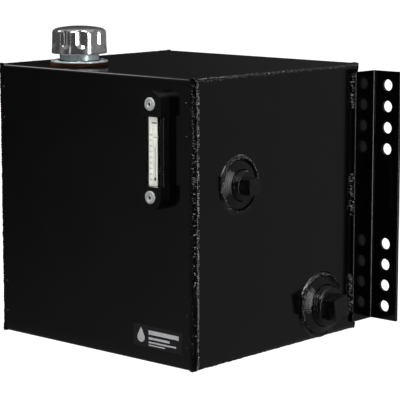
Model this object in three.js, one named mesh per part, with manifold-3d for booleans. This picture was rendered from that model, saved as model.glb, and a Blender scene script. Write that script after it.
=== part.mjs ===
// Side-mount hydraulic reservoir: a welded steel tank with two mounting angles, a filler-breather
// on top, a level and temperature gauge on the front and plugged pipe ports in its sides.
// Millimetres, +Z up. The origin is the centre of the tank's base face. The front faces -Y and
// the ported side faces +X.

import * as THREE from 'three';
import { mergeVertices } from 'three/addons/utils/BufferGeometryUtils.js';
import Module from 'manifold-3d';

const wasm = await Module();
wasm.setup();

// ---------------------------------------------------------------- driving dimensions

const INCH = 25.4;
const GAP = 0.3;
const THIN_GAP = 0.2;
const ROUND = 28;
const DRAIN_ROUND = 20;
const SMALL_ROUND = 8;
const OVERCUT = 5;

const TANK = { width: 392, depth: 362, height: 400, sheet: 3, bend: 5 };
const HALF_W = TANK.width / 2;
const HALF_D = TANK.depth / 2;
const CORNER_WELD = 6;

const BAFFLE = { x0: -110, x1: HALF_W - CORNER_WELD - 0.5, y: 0, z1: 330, mouse_hole: 22 };

const ANGLE = {
  leg: 2 * INCH, wall: 3 / 16 * INCH, fillet: 4.5, toe: 2.2, length: 14.75 * INCH, overlap: 16.5,
};
const ANGLE_Z0 = (TANK.height - ANGLE.length) / 2;
const ANGLE_FRONT = HALF_D - ANGLE.overlap;
const ANGLE_BACK = ANGLE_FRONT + ANGLE.leg;
const ANGLE_HOLE = { radius: 11 / 32 * INCH, offset: 28.6, pitch: 1.25 * INCH, end: 20.6, per_group: 4 };
const STITCH = {
  leg: 5.5, throat: 1.6, throat_back: 3.3, crest_back: 0.6, below_toe: 0.4,
  spans: [[27, 87], [172, 239], [332, 386]],
};

const RETURN_PORT = {
  y: -90.8, z: 248.4, bore: 21.7, hub: 31.5, rim: 36.3, weld: 42, rise: 6.2,
  thread: 21.1, shoulder: 15, head: 7 / 8 * INCH, head_length: 14, turn: 0,
};
const SUCTION_PORT = {
  y: 92.2, z: 51, bore: 30.6, hub: 38, rim: 43.4, weld: 49.2, rise: 10,
  thread: 30, shoulder: 22.3, head: 1.25 * INCH, head_length: 17.4, turn: 12,
};
const BUNG = { inside: 15, edge: 2, edge_drop: 1.2, edge_low: 2.4, land: 5, bore_chamfer: 0.8 };
const BUNG_WELD = {
  below_rise: 2.6, highest: 5, toe: 0.12, toe_height: 0.35, middle: 0.5, middle_height: 0.8,
};
const PLUG = {
  inside: 12, end_chamfer: 1, taper: 0.4, lead: 1.5, shoulder_chamfer: 2.4, corner: 1.2, sunk: 2,
};
const DRAIN = {
  y: -120, z: 34, bore: 13.6, hub: 17, rim: 20, weld: 24.8, rise: 5,
  thread: 13.1, shoulder: 9, head: 16, head_length: 10, inside: 12, plug_inside: 10,
  edge: 1.5, weld_toe: 1.5, weld_toe_height: 1.8, weld_height: 3.2, taper: 0.8, chamfer: 1, corner: 1,
};

const FILLER = { x: -82, y: -124 };
const GASKET = { outer: 42, inner: 26.5, thickness: 1.8 };
const BASKET = { outer: 24.5, wall: 1.2, depth: 88, rim: 41.5, rim_thickness: 0.8 };
const FLANGE = { outer: 41.5, thickness: 2.2 };
const NECK = {
  outer: 28.5, inner: 26.8, fillet: 1.5, top: 19.4, lip: 1.5, lip_inner: 20,
  notch: 25.2, notch_half_angle: 24,
};
const SCREW = {
  count: 6, circle: 36.5, shank: 2.3, hole: 2.8, length: 16,
  head: 4.4, head_height: 2.6, head_edge: 1, head_top: 3,
};

// Radii and heights over the tank's top, from the skirt up the outside to the crown, then the inside.
const CAP = {
  lip: 39.5, skirt_bottom: 17.8, skirt: 40, lip_top: 18.6, belt: 39.6, side: 39, side_top: 49.5,
  roll: 38.1, roll_top: 51.7, shoulder: 36.2, shoulder_top: 53, dome: 28.2, dome_top: 54.7,
  crown_flat: 12, crown_flat_top: 56.5, crown: 57,
  inner: 35.4, inner_side_top: 46.5, vault: 28.4, vault_top: 51.2, inner_top: 52.4,
};
const FLUTE = { count: 10, radius: 10.5, depth: 2.6, bottom: 26.3, first_angle: 32 };
const SEAL = { inner: 21, outer: 28.6, thickness: 2.2 };
const LOCK = {
  plate: 30, thickness: 1.2, hub: 19.3, hub_inner: 17.6, lug: 24.6, lug_thickness: 1.5, lug_half_angle: 16,
  vent: 2.6, vent_circle: 8.5,
};
const ELEMENT = { inner: 12, outer: 31, height: 18 };
const STUD = { radius: 2.4, foot: 5, foot_thickness: 1.5 };

const GAUGE = {
  x: 131.8, upper: 364, lower: 237, half_width: 18.5, end_radius: 18.2, base: 4,
  guard: 13.5, guard_wall: 4.4, cap: 19.5, upper_skirt: 17.2, lower_skirt: 14.2,
  shank: 5, hole: 5.5, head: 9, head_height: 1.8, head_edge: 0.7, bolt_inside: 16,
};
const TUBE = { half_width: 11, depth: 11.5, wall: 1.8, crown_wall: 2.8, shoulder: 4, shoulder_width: 5 };
const SCALE = { half_width: 8.6, thickness: 0.8 };
const THERMOMETER = {
  radius: 1.1, bulb: 2, offset: 4.5, above_cap: 8, length: 46, foot: 1.4, foot_height: 0.6,
  bulb_low: 2, bulb_high: 3.5, stem: 5, tip: 0.55, tip_height: 0.8,
};
const O_RING = { inner: 5.7, outer: 8.4, thickness: 1.6 };
const NUT = { across_flats: 18, thickness: 7 };

const LABEL = { x0: 80, x1: 173, z0: 21, z1: 51.5, thickness: 0.4, corner: 1.5 };

// ---------------------------------------------------------------- materials

function finish(color, roughness, metalness) {
  return new THREE.MeshStandardMaterial({ color, roughness, metalness });
}

const black_paint = () => finish(0x111113, 0.25, 0.0);
const weld_paint = () => finish(0x161618, 0.3, 0.0);
const zinc = () => finish(0xb9c6c8, 0.3, 1.0);
const chrome = () => finish(0xd8d8dc, 0.12, 1.0);
const black_iron = () => finish(0x1d1c1c, 0.45, 0.6);
const cork = () => finish(0x6b4630, 0.9, 0.0);
const rubber = () => finish(0x121212, 0.8, 0.0);
const black_plastic = () => finish(0x17171a, 0.55, 0.0);
const clear_plastic = () => finish(0xe8eef0, 0.08, 0.0);
const white_scale = () => finish(0xe6e4d6, 0.5, 0.0);
const label_film = () => finish(0x26262a, 0.4, 0.0);

// ---------------------------------------------------------------- solids and booleans

function closed(source) {
  const bare = source.clone();
  bare.deleteAttribute('normal');
  bare.deleteAttribute('uv');
  const merged = mergeVertices(bare, 1e-4);
  const position = merged.getAttribute('position');
  const index = merged.getIndex().array;
  const corners = [0, 1, 2].map(() => new THREE.Vector3());
  const kept = [];
  let volume = 0;
  for (let i = 0; i < index.length; i += 3) {
    const face = [index[i], index[i + 1], index[i + 2]];
    if (face[0] === face[1] || face[1] === face[2] || face[2] === face[0]) continue;
    face.forEach((vertex, k) => corners[k].fromBufferAttribute(position, vertex));
    volume += corners[0].dot(corners[1].clone().cross(corners[2]));
    kept.push(face);
  }
  if (volume < 0) kept.forEach((face) => face.reverse());
  const result = new THREE.BufferGeometry();
  result.setAttribute('position', position);
  result.setIndex(kept.flat());
  return result;
}

function toSolid(geometry) {
  const ready = closed(geometry);
  const vertProperties = new Float32Array(ready.getAttribute('position').array);
  const triVerts = new Uint32Array(ready.getIndex().array);
  return new wasm.Manifold(new wasm.Mesh({ numProp: 3, vertProperties, triVerts }));
}

function toGeometry(solid) {
  const mesh = solid.getMesh();
  const geometry = new THREE.BufferGeometry();
  geometry.setAttribute('position', new THREE.BufferAttribute(new Float32Array(mesh.vertProperties), 3));
  geometry.setIndex(new THREE.BufferAttribute(new Uint32Array(mesh.triVerts), 1));
  return geometry;
}

function cut(base, tools) {
  return toGeometry(tools.reduce((solid, tool) => solid.subtract(toSolid(tool)), toSolid(base)));
}

function join(parts) {
  const [first, ...rest] = parts.map(toSolid);
  return toGeometry(rest.reduce((solid, part) => solid.add(part), first));
}

// A shape drawn in (Y, Z) and pushed along +X from x0.
function extrudeX(shape, x0, length, curveSegments = 12) {
  const geometry = new THREE.ExtrudeGeometry(shape, { depth: length, bevelEnabled: false, curveSegments });
  geometry.applyMatrix4(new THREE.Matrix4().set(0, 0, 1, x0, 1, 0, 0, 0, 0, 1, 0, 0, 0, 0, 0, 1));
  return geometry;
}

// A shape drawn in (X, Z) and pushed along -Y from y0, towards the front.
function extrudeFront(shape, y0, length, curveSegments = 12) {
  const geometry = new THREE.ExtrudeGeometry(shape, { depth: length, bevelEnabled: false, curveSegments });
  geometry.applyMatrix4(new THREE.Matrix4().set(1, 0, 0, 0, 0, 0, -1, y0, 0, 1, 0, 0, 0, 0, 0, 1));
  return geometry;
}

// A shape drawn in (X, Y) and pushed along +Z from z0.
function extrudeZ(shape, z0, length, curveSegments = 12) {
  const geometry = new THREE.ExtrudeGeometry(shape, { depth: length, bevelEnabled: false, curveSegments });
  geometry.translate(0, 0, z0);
  return geometry;
}

// A closed profile of [radius, height] points turned about an axis.
function turned(points, axis, segments) {
  const outline = points.map(([radius, height]) => new THREE.Vector2(radius, height));
  const onAxis = points[0][0] === 0 && points[points.length - 1][0] === 0;
  if (!onAxis) outline.push(outline[0].clone());
  const geometry = new THREE.LatheGeometry(outline, segments);
  if (axis === 'z') geometry.rotateX(Math.PI / 2);
  if (axis === 'x') geometry.rotateZ(-Math.PI / 2);
  if (axis === '-x') geometry.rotateZ(Math.PI / 2);
  if (axis === '-y') geometry.rotateX(Math.PI);
  return geometry;
}

function rod(radius, from, to, axis, segments) {
  return turned([[0, from], [radius, from], [radius, to], [0, to]], axis, segments);
}

function washer(inner, outer, from, to, axis, segments) {
  return turned([[inner, from], [outer, from], [outer, to], [inner, to]], axis, segments);
}

function roundedRectangle(x0, y0, x1, y1, radius) {
  const shape = new THREE.Shape();
  shape.moveTo(x0 + radius, y0);
  shape.lineTo(x1 - radius, y0);
  shape.absarc(x1 - radius, y0 + radius, radius, -Math.PI / 2, 0, false);
  shape.lineTo(x1, y1 - radius);
  shape.absarc(x1 - radius, y1 - radius, radius, 0, Math.PI / 2, false);
  shape.lineTo(x0 + radius, y1);
  shape.absarc(x0 + radius, y1 - radius, radius, Math.PI / 2, Math.PI, false);
  shape.lineTo(x0, y0 + radius);
  shape.absarc(x0 + radius, y0 + radius, radius, Math.PI, Math.PI * 1.5, false);
  return shape;
}

function polygon(points) {
  return new THREE.Shape(points.map(([x, y]) => new THREE.Vector2(x, y)));
}

function circle(x, y, radius) {
  const path = new THREE.Shape();
  path.absarc(x, y, radius, 0, Math.PI * 2, false);
  return path;
}

function placed(geometry, x, y, z) {
  const copy = geometry.clone();
  copy.translate(x, y, z);
  return copy;
}

function mirroredX(geometry) {
  const copy = geometry.clone();
  copy.scale(-1, 1, 1);
  return closed(copy);
}

// ---------------------------------------------------------------- assembly

const reservoir = new THREE.Group();

function add(name, geometry, material) {
  const mesh = new THREE.Mesh(closed(geometry), material);
  mesh.name = name;
  reservoir.add(mesh);
  return mesh;
}

function polar(count, radius, firstDegrees) {
  return Array.from({ length: count }, (_, i) => {
    const angle = THREE.MathUtils.degToRad(firstDegrees + i * 360 / count);
    return [Math.cos(angle) * radius, Math.sin(angle) * radius];
  });
}

const screw_points = polar(SCREW.count, SCREW.circle, 15);

// ---------------------------------------------------------------- tank

// One sheet bent round the front, top, back and bottom, with its ends meeting half way up the back.
function tankWrapper() {
  const outer = roundedRectangle(-HALF_D, 0, HALF_D, TANK.height, TANK.bend);
  const inset = TANK.sheet;
  const inner_radius = TANK.bend - TANK.sheet;
  outer.holes.push(
    roundedRectangle(-HALF_D + inset, inset, HALF_D - inset, TANK.height - inset, inner_radius),
  );
  const end = HALF_W - CORNER_WELD - GAP;
  const sheet = extrudeX(outer, -end, 2 * end, 3);
  const through_top = [TANK.height - 10, TANK.height + 10];
  const tools = [placed(rod(GASKET.inner, ...through_top, 'z', ROUND), FILLER.x, FILLER.y, 0)];
  screw_points.forEach(([x, y]) => {
    tools.push(placed(rod(SCREW.hole, ...through_top, 'z', SMALL_ROUND), FILLER.x + x, FILLER.y + y, 0));
  });
  [GAUGE.upper, GAUGE.lower].forEach((z) => {
    tools.push(placed(rod(GAUGE.hole, -10, 10, '-y', 16), GAUGE.x, -HALF_D, z));
  });
  const middle = TANK.height / 2;
  const slit = polygon([
    [HALF_D - 10, middle - 1.5], [HALF_D + 10, middle - 1.5],
    [HALF_D + 10, middle + 1.5], [HALF_D - 10, middle + 1.5],
  ]);
  tools.push(extrudeX(slit, -HALF_W, TANK.width));
  return cut(sheet, tools);
}

function rearSeamWeld() {
  const middle = TANK.height / 2;
  const half = 1.5 - GAP;
  const end = HALF_W - CORNER_WELD - GAP;
  const crown = 1.2;
  const section = polygon([
    [HALF_D - TANK.sheet, middle - half], [HALF_D + THIN_GAP, middle - half],
    [HALF_D + THIN_GAP, middle - 4], [HALF_D + crown, middle - 2],
    [HALF_D + crown, middle + 2], [HALF_D + THIN_GAP, middle + 4],
    [HALF_D + THIN_GAP, middle + half], [HALF_D - TANK.sheet, middle + half],
  ]);
  return extrudeX(section, -end, 2 * end);
}

function sidePlateBlank() {
  const inset = CORNER_WELD + GAP;
  const shape = polygon([
    [-HALF_D + inset, inset], [HALF_D - inset, inset],
    [HALF_D - inset, TANK.height - inset], [-HALF_D + inset, TANK.height - inset],
  ]);
  return extrudeX(shape, HALF_W - TANK.sheet, TANK.sheet);
}

function sidePlateRight() {
  const tools = [RETURN_PORT, SUCTION_PORT].map((port) => (
    placed(rod(port.hub + GAP, HALF_W - 10, HALF_W + 10, 'x', ROUND), 0, port.y, port.z)
  ));
  return cut(sidePlateBlank(), tools);
}

function sidePlateLeft() {
  const hole = rod(DRAIN.hub + GAP, HALF_W - 10, HALF_W + 10, '-x', ROUND);
  return cut(mirroredX(sidePlateBlank()), [placed(hole, 0, DRAIN.y, DRAIN.z)]);
}

// The weld that fills the open corner between a side plate and the wrapper, all the way round.
// Its section is a quarter round, carried round the four mitred corners.
function cornerWeldRight() {
  const steps = 5;
  const section = [[HALF_W - CORNER_WELD, CORNER_WELD]];
  for (let i = 0; i <= steps; i += 1) {
    const angle = (i / steps) * Math.PI / 2;
    section.push([
      HALF_W - CORNER_WELD + CORNER_WELD * Math.sin(angle),
      CORNER_WELD - CORNER_WELD * Math.cos(angle),
    ]);
  }
  const ring = [[-1, 0], [1, 0], [1, 1], [-1, 1]].map(([side, top]) => section.map(([x, inset]) => [
    x,
    side * (HALF_D - inset),
    top ? TANK.height - inset : inset,
  ]));
  const vertices = ring.flat(2);
  const count = section.length;
  const faces = [];
  for (let corner = 0; corner < 4; corner += 1) {
    for (let i = 0; i < count; i += 1) {
      const a = corner * count + i;
      const b = corner * count + (i + 1) % count;
      const c = ((corner + 1) % 4) * count + i;
      const d = ((corner + 1) % 4) * count + (i + 1) % count;
      faces.push(a, c, b, b, c, d);
    }
  }
  const geometry = new THREE.BufferGeometry();
  geometry.setAttribute('position', new THREE.Float32BufferAttribute(vertices, 3));
  geometry.setIndex(faces);
  return geometry;
}

// A plate between the return side and the suction side, so that oil goes round its far end.
function bafflePlate() {
  const base = TANK.sheet + GAP;
  const shape = new THREE.Shape();
  shape.moveTo(BAFFLE.x0, base);
  shape.lineTo(BAFFLE.x1 - BAFFLE.mouse_hole, base);
  shape.absarc(BAFFLE.x1, base, BAFFLE.mouse_hole, Math.PI, Math.PI / 2, true);
  shape.lineTo(BAFFLE.x1, BAFFLE.z1);
  shape.lineTo(BAFFLE.x0, BAFFLE.z1);
  return extrudeFront(shape, BAFFLE.y + TANK.sheet / 2, TANK.sheet, 6);
}

// ---------------------------------------------------------------- mounting angles

// One leg lies flat on the side plate and runs back past it. The other turns outward behind the
// tank and holds the bolt holes.
function bracketRight() {
  const x0 = HALF_W + THIN_GAP;
  const x1 = HALF_W + ANGLE.leg;
  const wall = ANGLE.wall;
  const shape = new THREE.Shape();
  shape.moveTo(x0, ANGLE_FRONT);
  shape.lineTo(x0 + wall - ANGLE.toe, ANGLE_FRONT);
  shape.absarc(x0 + wall - ANGLE.toe, ANGLE_FRONT + ANGLE.toe, ANGLE.toe, -Math.PI / 2, 0, false);
  shape.lineTo(x0 + wall, ANGLE_BACK - wall - ANGLE.fillet);
  shape.absarc(
    x0 + wall + ANGLE.fillet, ANGLE_BACK - wall - ANGLE.fillet, ANGLE.fillet, Math.PI, Math.PI / 2, true,
  );
  shape.lineTo(x1 - ANGLE.toe, ANGLE_BACK - wall);
  shape.absarc(x1 - ANGLE.toe, ANGLE_BACK - wall + ANGLE.toe, ANGLE.toe, -Math.PI / 2, 0, false);
  shape.lineTo(x1, ANGLE_BACK);
  shape.lineTo(x0, ANGLE_BACK);
  const angle = extrudeZ(shape, ANGLE_Z0, ANGLE.length, 3);
  const hole_x = HALF_W + ANGLE_HOLE.offset;
  const tools = [];
  for (let i = 0; i < ANGLE_HOLE.per_group; i += 1) {
    const step = ANGLE_HOLE.end + i * ANGLE_HOLE.pitch;
    [ANGLE_Z0 + step, ANGLE_Z0 + ANGLE.length - step].forEach((z) => {
      const hole = rod(ANGLE_HOLE.radius, -OVERCUT, ANGLE.wall + OVERCUT, '-y', 16);
      tools.push(placed(hole, hole_x, ANGLE_BACK, z));
    });
  }
  return cut(angle, tools);
}

function stitchWeldRight(z0, z1) {
  const x0 = HALF_W + THIN_GAP;
  const x1 = x0 + ANGLE.wall - STITCH.below_toe;
  const toe = ANGLE_FRONT - GAP;
  const shape = polygon([
    [x0, toe - STITCH.leg], [x0 + STITCH.throat, toe - STITCH.throat_back],
    [x1, toe - STITCH.crest_back], [x1, toe], [x0, toe],
  ]);
  return extrudeZ(shape, z0, z1 - z0);
}

// ---------------------------------------------------------------- ports

function bung(port) {
  return turned([
    [port.bore, -BUNG.inside], [port.hub, -BUNG.inside], [port.hub, THIN_GAP], [port.rim, THIN_GAP],
    [port.rim, port.rise - BUNG.edge_low], [port.rim - BUNG.edge, port.rise - BUNG.edge_drop],
    [port.bore + BUNG.land, port.rise], [port.bore + BUNG.bore_chamfer, port.rise],
    [port.bore, port.rise - BUNG.bore_chamfer],
  ], 'x', ROUND);
}

function bungWeld(port) {
  const foot = port.rim + GAP;
  const height = Math.min(port.rise - BUNG_WELD.below_rise, BUNG_WELD.highest);
  const reach = port.weld - foot;
  return turned([
    [foot, THIN_GAP], [port.weld, THIN_GAP],
    [port.weld - reach * BUNG_WELD.toe, height * BUNG_WELD.toe_height],
    [port.weld - reach * BUNG_WELD.middle, height * BUNG_WELD.middle_height], [foot, height],
  ], 'x', ROUND);
}

// A tapered pipe plug with a square head, drawn along +X from the plate's outer face.
function pipePlug(port) {
  const body = turned([
    [0, -PLUG.inside], [port.thread - PLUG.end_chamfer, -PLUG.inside],
    [port.thread - PLUG.taper, PLUG.lead - PLUG.inside], [port.thread, port.shoulder - PLUG.shoulder_chamfer],
    [port.thread - PLUG.shoulder_chamfer, port.shoulder], [0, port.shoulder],
  ], 'x', ROUND);
  const half = port.head / 2;
  const square = extrudeX(
    roundedRectangle(-half, -half, half, half, PLUG.corner), port.shoulder - PLUG.sunk,
    port.head_length + PLUG.sunk, 2,
  );
  square.rotateX(THREE.MathUtils.degToRad(port.turn));
  return join([body, square]);
}

function drainBung() {
  return turned([
    [DRAIN.bore, -DRAIN.inside], [DRAIN.hub, -DRAIN.inside], [DRAIN.hub, THIN_GAP],
    [DRAIN.rim, THIN_GAP], [DRAIN.rim, DRAIN.rise - DRAIN.edge], [DRAIN.rim - DRAIN.edge, DRAIN.rise],
    [DRAIN.bore, DRAIN.rise],
  ], '-x', DRAIN_ROUND);
}

function drainBungWeld() {
  const foot = DRAIN.rim + GAP;
  return turned([
    [foot, THIN_GAP], [DRAIN.weld, THIN_GAP], [DRAIN.weld - DRAIN.weld_toe, DRAIN.weld_toe_height],
    [foot, DRAIN.weld_height],
  ], '-x', DRAIN_ROUND);
}

function drainPlug() {
  const body = turned([
    [0, -DRAIN.plug_inside], [DRAIN.thread - DRAIN.taper, -DRAIN.plug_inside],
    [DRAIN.thread, DRAIN.shoulder - DRAIN.chamfer], [DRAIN.thread - DRAIN.chamfer, DRAIN.shoulder],
    [0, DRAIN.shoulder],
  ], '-x', DRAIN_ROUND);
  const half = DRAIN.head / 2;
  const square = extrudeX(
    roundedRectangle(-half, -half, half, half, DRAIN.corner), DRAIN.shoulder - DRAIN.chamfer,
    DRAIN.head_length + DRAIN.chamfer, 2,
  );
  return join([body, mirroredX(square)]);
}

// ---------------------------------------------------------------- filler-breather

const STACK = (() => {
  const lower_gasket = TANK.height + THIN_GAP;
  const rim = lower_gasket + GASKET.thickness + THIN_GAP;
  const upper_gasket = rim + BASKET.rim_thickness + THIN_GAP;
  const flange = upper_gasket + GASKET.thickness + THIN_GAP;
  const head = flange + FLANGE.thickness + THIN_GAP;
  return { lower_gasket, rim, upper_gasket, flange, head };
})();

function screwHoles(z0, z1) {
  return screw_points.map(([x, y]) => placed(rod(SCREW.hole, z0, z1, 'z', SMALL_ROUND), x, y, 0));
}

function fillerGasket(z) {
  const ring = washer(GASKET.inner, GASKET.outer, z, z + GASKET.thickness, 'z', ROUND);
  return placed(cut(ring, screwHoles(z - 1, z + GASKET.thickness + 1)), FILLER.x, FILLER.y, 0);
}

function strainerBasket() {
  const top = STACK.rim + BASKET.rim_thickness;
  const bottom = STACK.rim - BASKET.depth;
  const inner = BASKET.outer - BASKET.wall;
  const basket = turned([
    [0, bottom], [BASKET.outer, bottom], [BASKET.outer, STACK.rim], [BASKET.rim, STACK.rim],
    [BASKET.rim, top], [inner, top], [inner, bottom + BASKET.wall], [0, bottom + BASKET.wall],
  ], 'z', ROUND);
  return placed(cut(basket, screwHoles(STACK.rim - 1, top + 1)), FILLER.x, FILLER.y, 0);
}

// The flange and neck, with two notches in the neck's lip that let the cap's lugs pass.
function fillerNeck() {
  const base = STACK.flange;
  const top = TANK.height + NECK.top;
  const neck = turned([
    [NECK.inner, base], [FLANGE.outer, base], [FLANGE.outer, base + FLANGE.thickness],
    [NECK.outer + NECK.fillet, base + FLANGE.thickness],
    [NECK.outer, base + FLANGE.thickness + NECK.fillet],
    [NECK.outer, top], [NECK.lip_inner, top], [NECK.lip_inner, top - NECK.lip],
    [NECK.inner, top - NECK.lip],
  ], 'z', ROUND);
  const notch = new THREE.Shape();
  const half = THREE.MathUtils.degToRad(NECK.notch_half_angle);
  notch.moveTo(0, 0);
  notch.absarc(0, 0, NECK.notch, -half, half, false);
  const notches = [0, Math.PI].map((turn) => {
    const wedge = extrudeZ(notch, top - NECK.lip - 1, NECK.lip + 2, 4);
    wedge.rotateZ(turn);
    return wedge;
  });
  const holes = screwHoles(base - 1, base + FLANGE.thickness + 1);
  return placed(cut(neck, [...notches, ...holes]), FILLER.x, FILLER.y, 0);
}

function fillerScrew(x, y) {
  const head = STACK.head;
  const screw = turned([
    [0, head - SCREW.length], [SCREW.shank, head - SCREW.length], [SCREW.shank, head],
    [SCREW.head, head], [SCREW.head, head + SCREW.head_height - SCREW.head_edge],
    [SCREW.head_top, head + SCREW.head_height], [0, head + SCREW.head_height],
  ], 'z', 12);
  return placed(screw, FILLER.x + x, FILLER.y + y, 0);
}

function capSeal() {
  const z = TANK.height + NECK.top + THIN_GAP;
  return placed(washer(SEAL.inner, SEAL.outer, z, z + SEAL.thickness, 'z', ROUND), FILLER.x, FILLER.y, 0);
}

const LOCK_Z = TANK.height + NECK.top + SEAL.thickness + 2 * THIN_GAP;

function capShell() {
  const t = TANK.height;
  const shell = turned([
    [0, t + CAP.inner_top], [CAP.vault, t + CAP.vault_top], [CAP.inner, t + CAP.inner_side_top],
    [CAP.inner, t + CAP.skirt_bottom], [CAP.lip, t + CAP.skirt_bottom], [CAP.skirt, t + CAP.lip_top],
    [CAP.belt, t + FLUTE.bottom], [CAP.side, t + CAP.side_top], [CAP.roll, t + CAP.roll_top],
    [CAP.shoulder, t + CAP.shoulder_top], [CAP.dome, t + CAP.dome_top],
    [CAP.crown_flat, t + CAP.crown_flat_top], [0, t + CAP.crown],
  ], 'z', 3 * FLUTE.count);
  const reach = CAP.side - FLUTE.depth + FLUTE.radius;
  const ball_end = [0, 1, 2, 3].map((step) => {
    const angle = step * Math.PI / 6;
    return [FLUTE.radius * Math.sin(angle), t + FLUTE.bottom + FLUTE.radius * (1 - Math.cos(angle))];
  });
  const tool_top = t + CAP.crown + OVERCUT;
  const flute = turned([...ball_end, [FLUTE.radius, tool_top], [0, tool_top]], 'z', 12);
  const tools = polar(FLUTE.count, reach, FLUTE.first_angle).map(([x, y]) => placed(flute, x, y, 0));
  return placed(cut(shell, tools), FILLER.x, FILLER.y, 0);
}

// The plate under the cap: a hub that goes down through the neck's lip and two bayonet lugs.
function capLockPlate() {
  const plate_top = LOCK_Z + LOCK.thickness;
  const lug_top = TANK.height + NECK.top - NECK.lip - 0.5;
  const lug_bottom = lug_top - LOCK.lug_thickness;
  const hat = turned([
    [0, LOCK_Z], [LOCK.hub_inner, LOCK_Z], [LOCK.hub_inner, lug_bottom], [LOCK.hub, lug_bottom],
    [LOCK.hub, LOCK_Z], [LOCK.plate, LOCK_Z], [LOCK.plate, plate_top], [0, plate_top],
  ], 'z', ROUND);
  const half = THREE.MathUtils.degToRad(LOCK.lug_half_angle);
  const lug = new THREE.Shape();
  lug.absarc(0, 0, LOCK.lug, -half, half, false);
  lug.absarc(0, 0, LOCK.hub_inner + 0.4, half, -half, true);
  const lugs = [0, Math.PI].map((turn) => {
    const tab = extrudeZ(lug, lug_bottom, LOCK.lug_thickness, 3);
    tab.rotateZ(turn);
    return tab;
  });
  const vents = polar(4, LOCK.vent_circle, 45).map(([x, y]) => (
    placed(rod(LOCK.vent, LOCK_Z - 1, plate_top + 1, 'z', SMALL_ROUND), x, y, 0)
  ));
  const stud_hole = rod(STUD.radius + GAP, LOCK_Z - 1, plate_top + 1, 'z', 12);
  return placed(cut(join([hat, ...lugs]), [...vents, stud_hole]), FILLER.x, FILLER.y, 0);
}

function breatherElement() {
  const z = LOCK_Z + LOCK.thickness + THIN_GAP;
  const ring = washer(ELEMENT.inner, ELEMENT.outer, z, z + ELEMENT.height, 'z', ROUND);
  return placed(ring, FILLER.x, FILLER.y, 0);
}

function capStud() {
  const foot_top = LOCK_Z - THIN_GAP;
  const top = TANK.height + CAP.inner_top - 0.6;
  const stud = turned([
    [0, foot_top - STUD.foot_thickness], [STUD.foot, foot_top - STUD.foot_thickness],
    [STUD.foot, foot_top], [STUD.radius, foot_top], [STUD.radius, top], [0, top],
  ], 'z', 12);
  return placed(stud, FILLER.x, FILLER.y, 0);
}

// ---------------------------------------------------------------- level gauge

const GAUGE_BACK = -HALF_D - THIN_GAP;
const BASE_FRONT = GAUGE_BACK - GAUGE.base;
const CAP_FRONT = -HALF_D - GAUGE.cap;
const UPPER_FLAT = GAUGE.upper - GAUGE.upper_skirt;
const LOWER_FLAT = GAUGE.lower + GAUGE.lower_skirt;

// A plate with round ends, about the gauge's own centre line.
function gaugeOutline(z0, z1, half_width, round_top, round_bottom) {
  const shape = new THREE.Shape();
  const r = GAUGE.end_radius;
  const right = GAUGE.x + half_width;
  const left = GAUGE.x - half_width;
  if (round_bottom) {
    shape.absellipse(GAUGE.x, z0 + r, half_width, r, Math.PI, 2 * Math.PI, false, 0);
  } else {
    shape.moveTo(left, z0);
    shape.lineTo(right, z0);
  }
  if (round_top) {
    shape.absellipse(GAUGE.x, z1 - r, half_width, r, 0, Math.PI, false, 0);
  } else {
    shape.lineTo(right, z1);
    shape.lineTo(left, z1);
  }
  return shape;
}

function frontBox(x0, x1, z0, z1, y_back, y_front) {
  return extrudeFront(polygon([[x0, z0], [x1, z0], [x1, z1], [x0, z1]]), y_back, y_back - y_front);
}

function gaugeHousing() {
  const z0 = GAUGE.lower - GAUGE.end_radius;
  const z1 = GAUGE.upper + GAUGE.end_radius;
  const base = extrudeFront(gaugeOutline(z0, z1, GAUGE.half_width, true, true), GAUGE_BACK, GAUGE.base, 8);
  const guard_front = -HALF_D - GAUGE.guard;
  const guards = [-1, 1].map((side) => {
    const outer = GAUGE.x + side * GAUGE.half_width;
    const inner = outer - side * GAUGE.guard_wall;
    const [x0, x1] = side < 0 ? [outer, inner] : [inner, outer];
    return frontBox(x0, x1, LOWER_FLAT + GAP, UPPER_FLAT - GAP, GAUGE_BACK - 1, guard_front);
  });
  const tools = [GAUGE.upper, GAUGE.lower].flatMap((z) => [
    placed(rod(GAUGE.hole, -OVERCUT, GAUGE.base + OVERCUT, '-y', 16), GAUGE.x, -HALF_D, z),
    placed(rod(O_RING.outer + GAP, -1, O_RING.thickness + 2 * THIN_GAP, '-y', 16), GAUGE.x, -HALF_D, z),
  ]);
  return cut(join([base, ...guards]), tools);
}

function gaugeCap(z, upper) {
  const y_back = BASE_FRONT - THIN_GAP;
  const outline = upper
    ? gaugeOutline(UPPER_FLAT, z + GAUGE.end_radius, GAUGE.half_width, true, false)
    : gaugeOutline(z - GAUGE.end_radius, LOWER_FLAT, GAUGE.half_width, false, true);
  const block = extrudeFront(outline, y_back, y_back - CAP_FRONT, 8);
  const hole = rod(GAUGE.hole, 0, GAUGE.cap + OVERCUT, '-y', 16);
  return cut(block, [placed(hole, GAUGE.x, -HALF_D, z)]);
}

const TUBE_BACK = BASE_FRONT - THIN_GAP;
const TUBE_FRONT = TUBE_BACK - TUBE.depth;

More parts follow.
